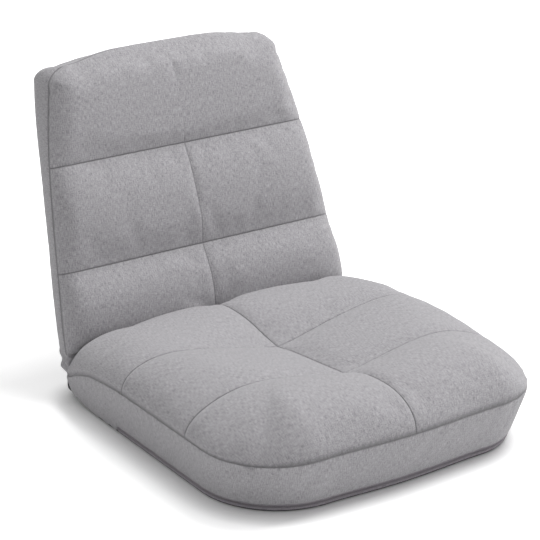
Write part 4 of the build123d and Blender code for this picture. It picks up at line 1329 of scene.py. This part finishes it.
def sewn_lines(grid: QuiltGrid, quilt: Quilt, skin: Skin) -> list[tuple[Array, Array]]:
    """Points and outward directions along each sewn channel and each part of the centre seam.

    Args:
        grid: Plan grid of the panel.
        quilt: The panel.
        skin: Its placed surface.

    Returns:
        A (points, directions) pair for each line, in millimetres.
    """
    normals = skin.normals()
    middle = len(grid.columns) // 2
    rows = [int(np.abs(grid.rows - c).argmin()) for c in quilt.channels]
    lines = []
    for row in rows:
        ring = grid.ring
        left = int(np.flatnonzero(ring[0] == grid.block[row, 0])[0])
        right = int(np.flatnonzero(ring[0] == grid.block[row, -1])[0])
        line = np.concatenate([ring[:0:-1, left], grid.block[row], ring[1:, right]])
        lines.append((skin.points[line], normals[line]))
    stops = [0, *rows, len(grid.block) - 1]
    for low, high in zip(stops, stops[1:]):
        line = grid.block[low : high + 1, middle]
        kept = quilt.centre_seam(grid.plan[line, 1]) > 0.3
        if kept.sum() > 3:
            lines.append((skin.points[line[kept]], normals[line[kept]]))
    return lines


@dataclass
class SeatBand:
    """Side band of the seat with the zip along its foot, and the black cloth underneath."""

    cover: SeatCover
    foot_front_bow: float = 6.0
    foot_front: float = 234.5
    foot_corners: tuple[float, float] = (122.0, 98.0)
    rear: float = 238.0
    heel_start: float = 182.0
    bulge: float = 2.6
    zip_start: float = 107.0
    coil_height: float = 8.8
    gathered_at: tuple[float, float] = (-222.0, -222.0)
    rear_slant: float = 15.0
    underside_rear: float = 267.0
    underside_corner: float = 18.0
    band_end: float = 226.0
    upper_foam_rear: float = 200.0
    wall_start: float = 208.0
    wall_top: float = 33.5

    def half_loop(self, inset: float, share: float, foot_corner: float) -> Array:
        """Half of the band's line in plan (x to the right, y), from the rear to the front.

        Args:
            inset: How far it is drawn in.
            share: Share of the band's height that it is at.
            foot_corner: Radius of the corner at the foot.

        Returns:
            Its points.
        """
        width = self.foot_half + (self.cover.half_width - self.foot_half) * share - inset
        corner = foot_corner + (self.cover.corner - foot_corner) * share - inset
        front = self.foot_front + (self.cover.front - self.foot_front) * share - inset

        def side(forward: Array) -> Array:
            """Half width, the same at every forward place."""
            return np.full_like(np.asarray(forward, float), width)

        outline = Outline(side, -self.rear, front - corner, corner, corner, self.foot_front_bow)
        return np.concatenate([outline.right_side(-self.rear), outline.far_end()[1:]]) * (1, -1)

    def loop(self, inset: float, share: float, count: int) -> Array:
        """Plan points (x, y) round the band at a share of its height, from the rear left to the rear right."""
        shares = np.linspace(0, 1, count // 2 + 1)
        left, right = (along(self.half_loop(inset, share, corner), shares) for corner in self.foot_corners)
        return np.concatenate([left * (-1, 1), right[::-1][1:]])

    @property
    def foot_half(self) -> float:
        """Half width at the foot."""
        return self.cover.foot_half_width

    def floor_height(self, y: Array) -> Array:
        """Height of the underside, which turns up at the heel."""
        return np.maximum(0, (y - self.heel_start)) * 14.0 / 85.0

    def build(self) -> None:
        """Build the band, the zip tapes, the coil, the foam and the underside."""
        foot = self.loop(0, 0.0, 640)
        seam = self.loop(0, 1.0, 640)
        length = lengths_along(seam)
        outward = np.gradient(seam, axis=0)
        outward = np.stack([outward[:, 1], -outward[:, 0]], axis=1)
        outward /= np.linalg.norm(outward, axis=1, keepdims=True)
        self.build_band(foot, seam, outward, length)
        self.build_zip(foot, seam, outward, length)
        self.build_foam()
        self.build_underside()

    def build_band(self, foot: Array, seam: Array, outward: Array, length: Array) -> None:
        """Side band from the cover's seam down to the zip, tucked in behind the zip tape.

        Args:
            foot: Plan points of the foot.
            seam: Plan points of the cover's seam.
            outward: Outward direction at each point.
            length: Length along the seam at each point.
        """
        top = self.cover.seam_height(seam[:, 1])
        zipped = smooth((self.zip_start + 6 - foot[:, 1]) / 12.0)
        wave = 1.1 * ripple(length, 15, 22.0) * (1 - zipped) + 0.25 * ripple(length, 16, 40.0)
        bottom = 2.0 + 10.2 * zipped + self.floor_height(foot[:, 1]) * 0.9 + np.maximum(wave, -0.9)
        levels = [0, 0.006, 0.015, 0.03, 0.05, 0.08, 0.12, *np.linspace(0.17, 0.9, 20), 0.94, 0.965, 0.985, 1.0]
        tucks = {len(levels): (1.2, 0.4), len(levels) + 1: (2.6, 1.4)}
        corner = near(seam[:, 0], seam[:, 1], self.gathered_at, 62.0)
        rows = Rows()
        for k, level in enumerate([*levels, 1.0, 1.0]):
            z = top + (bottom - top) * level
            plan = foot + (seam - foot) * (z / CHAIR.seam_height)[:, None]
            down = top - z
            fill = pillow(down, 30.0, lip=4.0) * pillow(z - bottom, 14.0, lip=3.0) * self.bulge
            gather = 0.7 * ripple(length, 11, 24.0) + 0.9 * corner * ripple(length, 17, 9.0)
            gather = gather * np.exp(-down / 20.0) * smooth(down / 3.0) * (1 + corner)
            slant = ripple(length + 0.6 * down, 12, 62.0) * np.sin(np.clip(down / 72.0, 0, 1) * math.pi)
            push = fill + gather + slant * (0.9 + 1.2 * corner)
            if k in tucks:
                inward, raised = tucks[k]
                push = np.full_like(push, -inward)
                z = z + raised
            # Painted shade at the top seam, stronger at the gathered front left corner, and at the foot where the
            # band meets the zip.
            sewn = np.clip(1 - down / 1.5, 0, 1) * (0.7 + 0.3 * corner) + np.clip(1 - (z - bottom) / 1.2, 0, 1) * 0.5
            points = np.column_stack([plan + outward * push[:, None], z])
            rows.add(points, np.column_stack([length, -down]), sewn)
        grid, flat = np.array(rows.points), np.array(rows.places)
        grid = CHAIR.drawn_in(grid)
        slant = self.rear_slant * np.clip(1 - grid[..., 2] / 44.0, 0, 1)
        grid[..., 1] -= slant * smooth((grid[..., 1] - 196) / 42)
        first, last = grid[:, :1].copy(), grid[:, -1:].copy()
        for end in (first, last):
            end[..., 0] = np.sign(end[..., 0]) * 236.0
            end[..., 1] += 4.0
        grid = np.concatenate([first, grid, last], axis=1)
        flat = np.concatenate([flat[:, :1] - (9, 0), flat, flat[:, -1:] + (9, 0)], axis=1)
        shade = np.clip(np.array(rows.sewn), 0, 1)
        shade = np.concatenate([shade[:, :1], shade, shade[:, -1:]], axis=1)
        band = strip(grid, flat, shade)
        piece = put_on(band.flipped().build("seat_band"), COVER, Body.SEAT)
        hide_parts("seat_boxing")

    def build_zip(self, foot: Array, seam: Array, outward: Array, length: Array) -> None:
        """Zip tapes along the foot, the coil's turns between them and the stops at the ends.

        Args:
            foot: Plan points of the foot.
            seam: Plan points of the cover's seam.
            outward: Outward direction at each point.
            length: Length along the seam at each point.
        """
        used = foot[:, 1] < self.zip_start
        foot, seam, outward, length = foot[used], seam[used], outward[used], length[used]
        heights = np.array([1.0, 1.6, 2.6, 4.6, 6.2, 6.8, 7.4, 8.8, 10.2, 10.8, 11.4, 12.6, 13.6])
        proud = np.array([-2.0, -0.2, 0.9, 1.1, 1.2, 0.9, -0.3, -0.5, -0.3, 0.8, 1.1, 0.9, -1.2])
        # Painted shade on the tape: darkest behind the coil, and darker at the foot and where the tape tucks under
        # the band.
        dark = np.array([0.6, 0.3, 0, 0, 0, 0.5, 1, 1, 1, 0.5, 0, 0.2, 0.8])
        rows = Rows()
        for z, push, shade in zip(heights, proud, dark):
            plan = foot + (seam - foot) * (z / CHAIR.seam_height) + outward * push
            level = np.full_like(length, z)
            rows.add(np.column_stack([plan, level]), np.column_stack([length, level]), np.full_like(length, shade))
        piece = put_on(rows.skin().build("zip_tape_strip"), TAPE, Body.SEAT)
        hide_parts("zip_tape")
        middle = foot + (seam - foot) * (self.coil_height / CHAIR.seam_height) + outward * 0.3
        line = np.column_stack([middle, np.full_like(length, self.coil_height)])
        out = np.column_stack([outward, np.zeros_like(length)])
        coil = COIL_TURNS.lay("zip_coil_turns", [(line, out)], COIL, Body.SEAT)
        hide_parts("zip_coil")
        for index, side in ((0, "left"), (-1, "right")):
            block = box_points(line[index] + out[index] * 0.8, (1.2, 3.4, 1.8))
            put_on(block.build(f"zip_stop_{side}"), COIL, Body.SEAT)

    def foam_line(self, height: float, inset: float) -> Array:
        """Plan points of the left half of the foam's edge at a height, from the rear to the front."""
        return self.half_loop(inset, height / CHAIR.seam_height, self.foot_corners[0]) * (-1, 1)

    def build_foam(self) -> None:
        """Upper and lower foam of the seat, drawn in at the front corners so that they stay inside the cover."""
        shares = np.linspace(0, 1, 90)
        rows = []
        for height, inset in ((49.0, 9.0), (80.0, 11.0)):
            half = self.foam_line(height, inset)
            half = half[half[:, 1] <= self.upper_foam_rear]
            rows.append(np.column_stack([along(half, shares), np.full(len(shares), height)]))
        lower, upper = rows
        lower[:, 1] = np.minimum(lower[:, 1], self.upper_foam_rear)
        upper[:, 2] = np.minimum(upper[:, 2], self.cover.seam_height(upper[:, 1]) - 3)
        self.build_block("seat_foam_shaped", "seat_foam_upper", lower, upper)
        rows = []
        for height in (3.5, 48.0):
            half = self.foam_line(height, 8.0)
            half = along(half[half[:, 1] <= 222.0], shares)
            rows.append(np.column_stack([half, np.maximum(height, 3.5 + self.floor_height(half[:, 1]))]))
        self.build_block("seat_foam_low_shaped", "seat_foam_lower", *rows)

    def build_block(self, name: str, node: str, lower: Array, upper: Array) -> None:
        """Build one block of the seat's foam.

        Args:
            name: Name of the piece.
            node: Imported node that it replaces.
            lower: Left half of its lower edge.
            upper: Left half of its upper edge.
        """
        lower[-1, 0] = upper[-1, 0] = 0.0
        piece = put_on(filled(lower, upper).build(name), FOAM, Body.SEAT)
        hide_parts(node)

    def underside_rim(self) -> Array:
        """Plan points of the underside's rim, from the middle of its rear edge round to it again."""
        radius, half_width = self.underside_corner, self.foot_half + 1.6
        turn = np.linspace(0, math.pi / 2, 16)
        across = np.linspace(0.0, half_width - radius, 60)[:-1]
        rear_line = np.column_stack([across, np.full_like(across, self.underside_rear)])
        turned = (half_width - radius + radius * np.sin(turn), self.underside_rear - radius + radius * np.cos(turn))
        side = np.arange(248.0, self.band_end, -1.5)
        side_line = np.column_stack([np.full_like(side, self.foot_half + 1.2), side])
        rims = []
        for corner in self.foot_corners:
            half = self.half_loop(0.0, 0.01, corner)
            rim = np.concatenate([rear_line, np.column_stack(turned), side_line, half[half[:, 1] < self.band_end]])
            rims.append(along(rim, np.linspace(0, 1, 300)))
        return np.concatenate([rims[0] * (-1, 1), rims[1][::-1][1:-1]])

    def build_underside(self) -> None:
        """Black cloth under the seat, which turns up at the heel and the rear wall."""
        whole = self.underside_rim()
        floor = self.floor_height(whole[:, 1])
        wall = smooth((whole[:, 1] - self.wall_start) / 26.0) * (self.wall_top - floor)
        rows = Rows()
        for k in [*np.linspace(0.02, 0.9, 30), 0.94, 0.97, 0.985]:
            line = whole * k
            rows.add(np.column_stack([line, 0.3 + self.floor_height(line[:, 1])]), line, np.zeros(len(line)))
        ups, outs = (0.0, 0.08, 0.2, 0.45, 0.7, 0.9, 1.0, 1.0), (0.994, 0.999, 1.0, 1.0, 1.0, 1.0, 0.999, 0.993)
        for up, out in zip(ups, outs):
            points = np.column_stack([whole * out, 0.5 + floor + up * (1.0 + wall)])
            # Painted shade on the top rows of the turned-up rim.
            rows.add(points, whole * (1 + 0.05 * up), np.full(len(whole), 0.5 if up >= 0.9 else 0.0))
        piece = put_on(rows.skin(closed=True).build("underside"), UNDERSIDE, Body.SEAT)
        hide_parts("seat_base_cloth")


def box_points(middle: Array, size: tuple[float, float, float]) -> Skin:
    """Small rounded block round a point, for a moulded stop.

    Args:
        middle: Its middle, in millimetres.
        size: Its sides along x, y and z.

    Returns:
        Closed skin of the block.
    """
    turn = np.linspace(0, 2 * math.pi, 25)[:-1]
    square = np.column_stack([np.cos(turn), np.sin(turn)])
    square = np.sign(square) * np.abs(square) ** 0.45
    half = np.array(size) / 2
    rows = []
    for up, wide in ((-1, 0.02), (-1, 0.7), (-0.86, 0.92), (-0.6, 1), (0.6, 1), (0.86, 0.92), (1, 0.7), (1, 0.02)):
        ring = np.column_stack([square * wide, np.full(24, up)]) * half + middle
        rows.append(ring)
    grid = np.array(rows)
    return strip(grid, grid[:, :, :2].copy(), None, closed=True)


def filled(lower: Array, upper: Array, columns: int = 14) -> Skin:
    """Closed block between two half lines and their mirrors across the chair's middle.

    Args:
        lower: Points of the left half of its lower edge, from the near end to the middle of the far end.
        upper: Points of its upper edge, paired with the lower ones.
        columns: Faces across each of the two flat sides.

    Returns:
        Closed skin of the block.
    """
    share = np.linspace(0, 1, columns)[None, :, None]
    low = lower[:, None] * (1 - share) + (lower * (-1, 1, 1))[:, None] * share
    high = upper[:, None] * share + (upper * (-1, 1, 1))[:, None] * (1 - share)
    rise = np.linspace(0, 1, 6)[1:-1][None, :, None]
    right = (lower * (-1, 1, 1))[:, None] * (1 - rise) + (upper * (-1, 1, 1))[:, None] * rise
    left = upper[:, None] * (1 - rise) + lower[:, None] * rise
    grid = np.concatenate([low, right, high, left], axis=1)
    cap = np.repeat(grid[:1].mean(axis=1, keepdims=True), grid.shape[1], axis=1)
    inside = cap + (grid[:1] - cap) * 0.5
    grid = np.concatenate([cap, inside, grid])
    return strip(grid, grid[:, :, :2].copy(), None, closed=True)


# ---------------------------------------------------------------- backrest
HALF_LOOP = 211


@dataclass
class BackCover:
    """Quilted front of the backrest, its side band and its rear panel, in the backrest's own frame."""

    foot: float = 21.0
    foam_foot: float = 84.0
    corner_start: float = 403.0
    corner_across: float = 42.0
    corner_along: float = 31.0
    bow: float = 12.0
    channels: tuple[float, float] = (138.0, 291.0)
    front_face: float = 13.0
    middle_face: float = -8.0
    rear_face: float = -28.0
    side_roll: float = 34.0
    top_roll: float = 44.0
    foot_roll: float = 46.0
    fullness: float = 5.0
    lip: float = 1.4
    reach: float = 60.0
    band: float = 30.0

    def side(self, inset: float) -> Curve:
        """Half width of the front seam, less an inset, by the height up the back."""
        width = monotone(
            (20, 38, 70, 102, 129, 203, 285, 320, 347, 380, 395, 460),
            (246.5, 246, 243.5, 240, 237, 229.5, 219, 213.5, 208.5, 201, 197.5, 183),
        )
        return lambda rise: width(rise) - inset

    def rear_side(self) -> Curve:
        """Half width of the rear panel's seam by the height up the back."""
        return monotone(
            (20, 42, 113, 183, 230, 277, 347, 380, 400, 417, 460),
            (235, 234, 229, 221.5, 217.5, 213, 207, 203, 200, 197, 188),
        )

    def outline(self, inset: float) -> Outline:
        """Outline of the front seam, drawn in by an inset."""
        return Outline(
            self.side(inset),
            self.foot,
            self.corner_start,
            self.corner_across - 0.6 * inset,
            self.corner_along - inset * 0.75,
            self.bow - inset * 0.25,
            5.0,
        )

    def base(self, across: Array, rise: Array, edge: Array) -> Array:
        """Depth of the sewn lines' surface towards the front."""
        centre = monotone(
            (20, 60, 81, 108, 138, 160, 181, 218, 256, 275, 291, 315, 340, 380, 460),
            (34, 39.5, 41.5, 38, 31.5, 34, 36.3, 37.8, 36, 33, 30.5, 31.8, 33, 34.5, 35),
        )(rise)
        share = monotone((0, 60, 130, 200, 300), (0, 0.3, 0.8, 1.0, 1.0))(np.abs(across))
        top = centre + 1.5 * share
        roll = self.side_roll + (self.top_roll - self.side_roll) * edge[1]
        lift = shoulder(edge[0] / roll) * shoulder((rise - self.foot + 4) / self.foot_roll)
        return self.front_face + (top - self.front_face) * lift

    def quilt(self) -> Quilt:
        """The whole front panel."""
        return Quilt(
            outline=self.outline(0.0),
            inner=self.outline(self.band),
            channels=self.channels,
            centre_seam=monotone((0, 132, 144, 285, 297, 350, 500), (0.6, 0.6, 0.4, 0.4, 0.3, 0.0, 0.0)),
            base_at=self.base,
            seam_at=lambda rise: np.full_like(rise, self.front_face),
            fullness=self.fullness,
            reach=self.reach,
            edge_reach=90.0,
            lip=self.lip,
            band=self.band,
            ends=(self.foot, 440.0),
            straight_end=360.0,
            puckered=((-190.0, 425.0), (190.0, 425.0)),
        )

    def build(self) -> None:
        """Build the front cover, its stitches, the side band, the rear panel and the foam."""
        quilt = self.quilt()
        grid, flat = quilt.stuffed("back_stuffing")
        skin = flat.turned(CHAIR.back_place)
        rise, edge = grid.plan[:, 1], self.channels[0]
        cover = put_on(take_part(skin, rise >= edge - SAME_PLACE).build("back_cover"), COVER, Body.BACKREST)
        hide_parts("back_pad_middle", "back_pad_top")
        row = put_on(take_part(skin, rise <= edge + SAME_PLACE).build("back_lower_row"), COVER, None)
        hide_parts("back_pad_lower")
        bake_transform(row)
        lines = sewn_lines(grid, quilt, skin)
        seam = lines.pop(len(self.channels))
        STITCHES.lay("back_stitches", lines, THREAD, Body.BACKREST)
        sewn = STITCHES.lay("back_row_stitches", [seam], THREAD, None)
        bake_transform(sewn)
        self.build_band()
        self.build_panel()
        self.build_foam()

    def loops(self) -> tuple[Array, Array, Array]:
        """Edge lines of the band at its front seam, its middle and its rear seam, from foot to foot."""
        front, rear = self.side(0.0), self.rear_side()
        middle = Outline(lambda s: (front(s) + rear(s)) / 2 + 1.5, self.foot, 414.0, 24.0, 20.0, 8.5, 5.0)
        back = Outline(rear, self.foot, 418.0, 20.0, 14.0, 5.0, 5.0)
        lines = []
        for outline, start in ((self.outline(0.0), self.foot), (middle, 28.0), (back, 35.0)):
            half = np.concatenate([outline.right_side(start), outline.far_end()[1:]])
            whole = np.concatenate([half * (-1, 1), half[::-1][1:]])
            lines.append(along(whole, np.linspace(0, 1, 2 * HALF_LOOP - 1)))
        return lines[0], lines[1], lines[2]

    def edge_at(self, depth: float, inset: float = 0.0) -> Array:
        """Edge line (across, up) at a depth, by a parabola through the three loops."""
        front, middle, rear = self.loops()
        a, b, c = self.front_face, self.middle_face, self.rear_face
        line = front * ((depth - b) * (depth - c) / ((a - b) * (a - c)))
        line = line + middle * ((depth - a) * (depth - c) / ((b - a) * (b - c)))
        line = line + rear * ((depth - a) * (depth - b) / ((c - a) * (c - b)))
        return line - self.outward(line) * inset

    def outward(self, line: Array) -> Array:
        """Outward directions in plan along an edge line."""
        step = np.gradient(line, axis=0)
        out = np.stack([-step[:, 1], step[:, 0]], axis=1)
        return out / np.linalg.norm(out, axis=1, keepdims=True)

    def build_band(self) -> None:
        """Side band between the front seam and the rear panel."""
        seam = self.edge_at(0.0)
        length = lengths_along(seam)
        deep = self.front_face - self.rear_face
        levels = [0, 0.012, 0.03, 0.055, 0.09, *np.linspace(0.14, 0.86, 12), 0.91, 0.945, 0.97, 0.988, 1.0]
        rows = Rows()
        near_corner = near(np.abs(seam[:, 0]), seam[:, 1], (185, 432), 42.0)
        for level in levels:
            down = level * deep
            edge = self.edge_at(self.front_face - down)
            fill = pillow(np.array(down), 18.0, lip=4.0) * pillow(np.array(deep - down), 18.0, lip=4.0) * 1.6
            gather = ripple(length + 0.5 * down, 21, 30.0) * math.sin(level * math.pi) * (0.6 + 1.0 * near_corner)
            plan = edge + self.outward(edge) * (fill + gather)[:, None]
            points = np.column_stack([plan, np.full(len(edge), self.front_face - down)])
            # Painted shade at the front and rear seams.
            sewn = max(0.0, 1 - down / 1.5, 1 - (deep - down) / 1.5) * 0.8
            rows.add(points, np.column_stack([length, np.full_like(length, -down)]), np.full_like(length, sewn))
        piece = put_on(rows.skin().turned(CHAIR.back_place).build("back_band"), COVER, None)
        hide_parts("back_boxing")
        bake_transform(piece)

    def build_panel(self) -> None:
        """Rear panel, laid across from the left half of the rear seam to the right half."""
        rear = self.edge_at(self.rear_face)
        half, other = rear[:HALF_LOOP], rear[::-1][:HALF_LOOP]
        near_side = [0, 0.004, 0.01, 0.02, 0.035, 0.055, 0.08]
        far_side = [0.92, 0.945, 0.965, 0.98, 0.99, 0.996, 1]
        rows = Rows()
        for k in [*near_side, *np.linspace(0.11, 0.89, 50), *far_side]:
            line = half + (other - half) * k
            sides = min(k, 1 - k) * np.linalg.norm(other - half, axis=1)
            edge = np.minimum(sides, np.maximum(half[-1, 1] - line[:, 1], 0))
            fill = pillow(edge, 60.0, lip=5.0) * pillow(line[:, 1] - 34.9, 40.0) * 4.2
            fill = fill + 0.5 * ripple(line[:, 0] + 0.7 * line[:, 1], 31, 90.0) * smooth(edge / 30)
            # Painted shade at the panel's seam.
            rows.add(np.column_stack([line, self.rear_face - fill]), line, np.clip(1 - edge / 1.5, 0, 1) * 0.8)
        panel = rows.skin().turned(CHAIR.back_place)
        piece = put_on(panel.flipped().build("back_panel"), COVER, None)
        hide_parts("back_panel_cloth")
        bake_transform(piece)

    def build_foam(self) -> None:
        """Foam of the back, drawn in at the top corners and the rear edge so that it stays inside the cover."""
        shares = np.linspace(0, 1, 90)
        rows = []
        for depth in (self.front_face - 0.5, self.rear_face + 1.5):
            line = self.edge_at(depth, inset=4.0)[:HALF_LOOP]
            line = along(line[line[:, 1] > self.foam_foot], shares)
            line[-1, 0] = 0.0
            rows.append(CHAIR.back_place(np.column_stack([line, np.full(len(shares), depth)])))
        piece = put_on(filled(*rows).build("back_foam_shaped"), FOAM, Body.BACKREST)
        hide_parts("back_foam_front", "back_foam_rear")


@dataclass
class HingeNeck:
    """Gathered cloth that joins the seat's rear edge to the foot of the backrest round the hinges."""

    stations: tuple[float, ...] = (0.0, 0.22, 0.42, 0.64, 0.84, 1.0)
    inner_y: tuple[float, ...] = (230.0, 236.5, 240.0, 241.2, 241.6, 243.0)
    inner_z: tuple[float, ...] = (44.0, 49.0, 55.0, 63.0, 71.4, 80.0)
    outer_y: tuple[float, ...] = (250.0, 264.5, 272.0, 277.5, 285.2, 288.0)
    outer_z: tuple[float, ...] = (32.0, 35.5, 46.0, 58.5, 72.5, 82.0)
    inner_half: tuple[float, ...] = (246.0, 247.0, 246.5, 245.0, 246.8, 245.0)
    outer_half: tuple[float, ...] = (238.8, 239.4, 241.5, 240.0, 236.2, 233.0)

    def at(self, values: tuple[float, ...], shares: Array) -> Array:
        """One size of the sections along the neck."""
        return monotone(self.stations, values)(shares)

    def build(self) -> None:
        """Build the neck as a closed loop of cloth, blended from the seat to the backrest."""
        count = 560
        rows, places = [], []
        for k in np.linspace(0, 1, 46):
            inner = (float(self.at(self.inner_y, k)), float(self.at(self.inner_z, k)))
            outer = (float(self.at(self.outer_y, k)), float(self.at(self.outer_z, k)))
            wide, narrow = float(self.at(self.inner_half, k)), float(self.at(self.outer_half, k))
            corners = np.array(
                [(0, *inner), (-wide, *inner), (-narrow, *outer), (narrow, *outer), (wide, *inner), (0, *inner)]
            )
            loop = along(corners, np.linspace(0, 1, count + 1))[:-1]
            for _ in range(2):
                loop = sum(np.roll(loop, shift, axis=0) for shift in range(-3, 4)) / 7
            step = np.roll(loop, -1, axis=0) - np.roll(loop, 1, axis=0)
            away = np.array([0, outer[0] - inner[0], outer[1] - inner[1]])
            away /= np.linalg.norm(away)
            lift = np.array([0, -away[2], away[1]])
            out = np.cross(step, lift)
            out /= np.linalg.norm(out, axis=1, keepdims=True)
            place = np.arange(count) * 2.2
            held = math.sin(math.pi * min(1.0, max(0.0, (k - 0.08) / 0.8)))
            side = smooth((np.abs(loop[:, 0]) - 200) / 36)
            fold = np.sin(2 * math.pi * (k * 2.6 + 0.22 * ripple(place, 41, 60.0))) * (0.7 + 1.3 * side)
            fold = fold + ripple(place + 30 * k, 42, 34.0) * 0.7
            rows.append(loop + out * (fold * held)[:, None])
            places.append(np.column_stack([place, np.full(count, k * 75.0)]))
        neck = strip(np.array(rows), np.array(places), None, closed=True)
        middle = neck.points.mean(axis=0)
        if ((neck.points - middle) * neck.normals()).sum() < 0:
            neck = neck.flipped()
        piece = put_on(neck.build("hinge_neck"), COVER, None)
        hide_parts("crease_cloth_rear")
        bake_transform(piece)


# ---------------------------------------------------------------- inner parts
@dataclass
class InnerParts:
    """Frame, foam, webbing, hinges and zip metal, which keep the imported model's shapes."""

    finishes: dict[str, Finish] = field(
        default_factory=lambda: {
            "foam": FOAM,
            "frame_steel": FRAME_STEEL,
            "hinge_steel": HINGE_STEEL,
            "webbing": WEBBING,
            "zip_coil": COIL,
            "zip_metal": ZIP_METAL,
            "cover_fabric": COVER,
            "underside_cloth": UNDERSIDE,
            "zip_tape": TAPE,
        }
    )

    def build(self) -> None:
        """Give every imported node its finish."""
        slots = {part["node"]: part["material_slot"] for part in frame["record"]["subparts"]}
        for name, node in frame["nodes"].items():
            finish = self.finishes[slots[name]]
            for place in node.material_slots:
                place.material = finish.material()
        LOG.info("inner parts: %d nodes", len(frame["nodes"]))


# ---------------------------------------------------------------- studio
@dataclass
class Studio:
    """Pale floor, soft light and the camera at the photograph's angle."""

    azimuth: float = -33.93
    elevation: float = 21.43
    distance: float = 2.8129
    target: tuple[float, float, float] = (-0.0775, -0.0368, 0.2587)
    lens: float = 137.985
    floor_half_side: float = 14.0
    floor_gap: float = 0.0004
    floor_white: float = 0.92
    floor_glow: float = 0.46
    shade_reach: float = 0.04
    sky: float = 0.46
    lamps_at: tuple[float, float, float] = (0.0, 0.05, 0.15)
    lamps: tuple[tuple[str, tuple[float, float, float], float, float], ...] = (
        ("key", (1.6, -0.1, 3.5), 2.0, 124.0),
        ("fill", (-2.8, 0.9, 2.2), 2.0, 5.0),
        ("front", (2.3, -2.2, 0.4), 1.6, 15.0),
    )

    def build(self) -> None:
        """Place the camera, the floor, the lamps and the world."""
        self.build_camera()
        self.build_floor()
        self.build_lights()

    def build_camera(self) -> None:
        """Camera from the fit to the photograph."""
        a, e = math.radians(self.azimuth), math.radians(self.elevation)
        away = Vector((math.sin(a) * math.cos(e), -math.cos(a) * math.cos(e), math.sin(e)))
        camera = linked("camera", bpy.data.cameras.new("camera"))
        camera.data.lens = self.lens
        camera.data.sensor_width = 36.0
        camera.data.clip_end = 50.0
        camera.location = Vector(self.target) + away * self.distance
        camera.rotation_euler = (-away).to_track_quat("-Z", "Y").to_euler()
        bpy.context.scene.camera = camera

    def build_floor(self) -> None:
        """White floor that keeps the object's shadow."""
        side = self.floor_half_side
        corners = [(-side, -side), (side, -side), (side, side), (-side, side)]
        mesh = bpy.data.meshes.new("floor")
        mesh.from_pydata([(x, y, -self.floor_gap) for x, y in corners], [], [(0, 1, 2, 3)])
        floor = linked("floor", mesh)
        made, kit, shader = new_material("floor_white")
        shader.inputs["Base Color"].default_value = (*(self.floor_white,) * 3, 1)
        shader.inputs["Roughness"].default_value = 0.9
        shader.inputs["Specular IOR Level"].default_value = 0.0
        shader.inputs["Emission Color"].default_value = (1, 1, 1, 1)
        shaded = kit.add("ShaderNodeAmbientOcclusion", samples=8)
        shaded.inputs["Distance"].default_value = self.shade_reach
        glow = kit.times(kit.math("POWER", shaded.outputs["AO"], 3.0), self.floor_glow)
        kit.feed(shader.inputs["Emission Strength"], kit.times(self.looked_at(kit), glow))
        mesh.materials.append(made)

    def looked_at(self, kit: Nodes) -> bpy.types.NodeSocket:
        """1 for camera, glossy and transmission rays, 0 for the rest."""
        path = kit.add("ShaderNodeLightPath")
        seen = kit.math("MAXIMUM", path.outputs["Is Camera Ray"], path.outputs["Is Glossy Ray"])
        return kit.math("MAXIMUM", seen, path.outputs["Is Transmission Ray"])

    def build_lights(self) -> None:
        """Large soft lamps and an even white world."""
        world = bpy.data.worlds.new("studio")
        world.use_nodes = True
        kit = Nodes(world.node_tree)
        background = world.node_tree.nodes["Background"]
        background.inputs["Color"].default_value = (1, 1, 1, 1)
        kit.feed(background.inputs["Strength"], kit.ranged(self.looked_at(kit), 0.0, 1.0, self.sky, 1.0))
        bpy.context.scene.world = world
        for lamp in self.lamps:
            self.lamp(*lamp)
        bpy.context.scene.view_settings.view_transform = "Standard"

    def lamp(self, name: str, place: tuple[float, float, float], size: float, power: float) -> None:
        """Add a square soft lamp that points at the chair.

        Args:
            name: Name of the lamp.
            place: Where it hangs, in metres.
            size: Side of its square, in metres.
            power: Power in watts.
        """
        data = bpy.data.lights.new(name, "AREA")
        data.size = size
        data.energy = power
        lamp = linked(name, data)
        lamp.location = place
        aim = Vector(self.lamps_at) - Vector(place)
        lamp.rotation_euler = aim.to_track_quat("-Z", "Y").to_euler()


def main() -> None:
    """Build the chair's looks in order."""
    logging.basicConfig(level=logging.INFO, format="%(name)s: %(message)s")
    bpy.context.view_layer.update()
    Studio().build()
    InnerParts().build()
    seat = SeatCover()
    seat.build()
    SeatBand(seat).build()
    BackCover().build()
    HingeNeck().build()


if __name__ == "__main__":
    main()
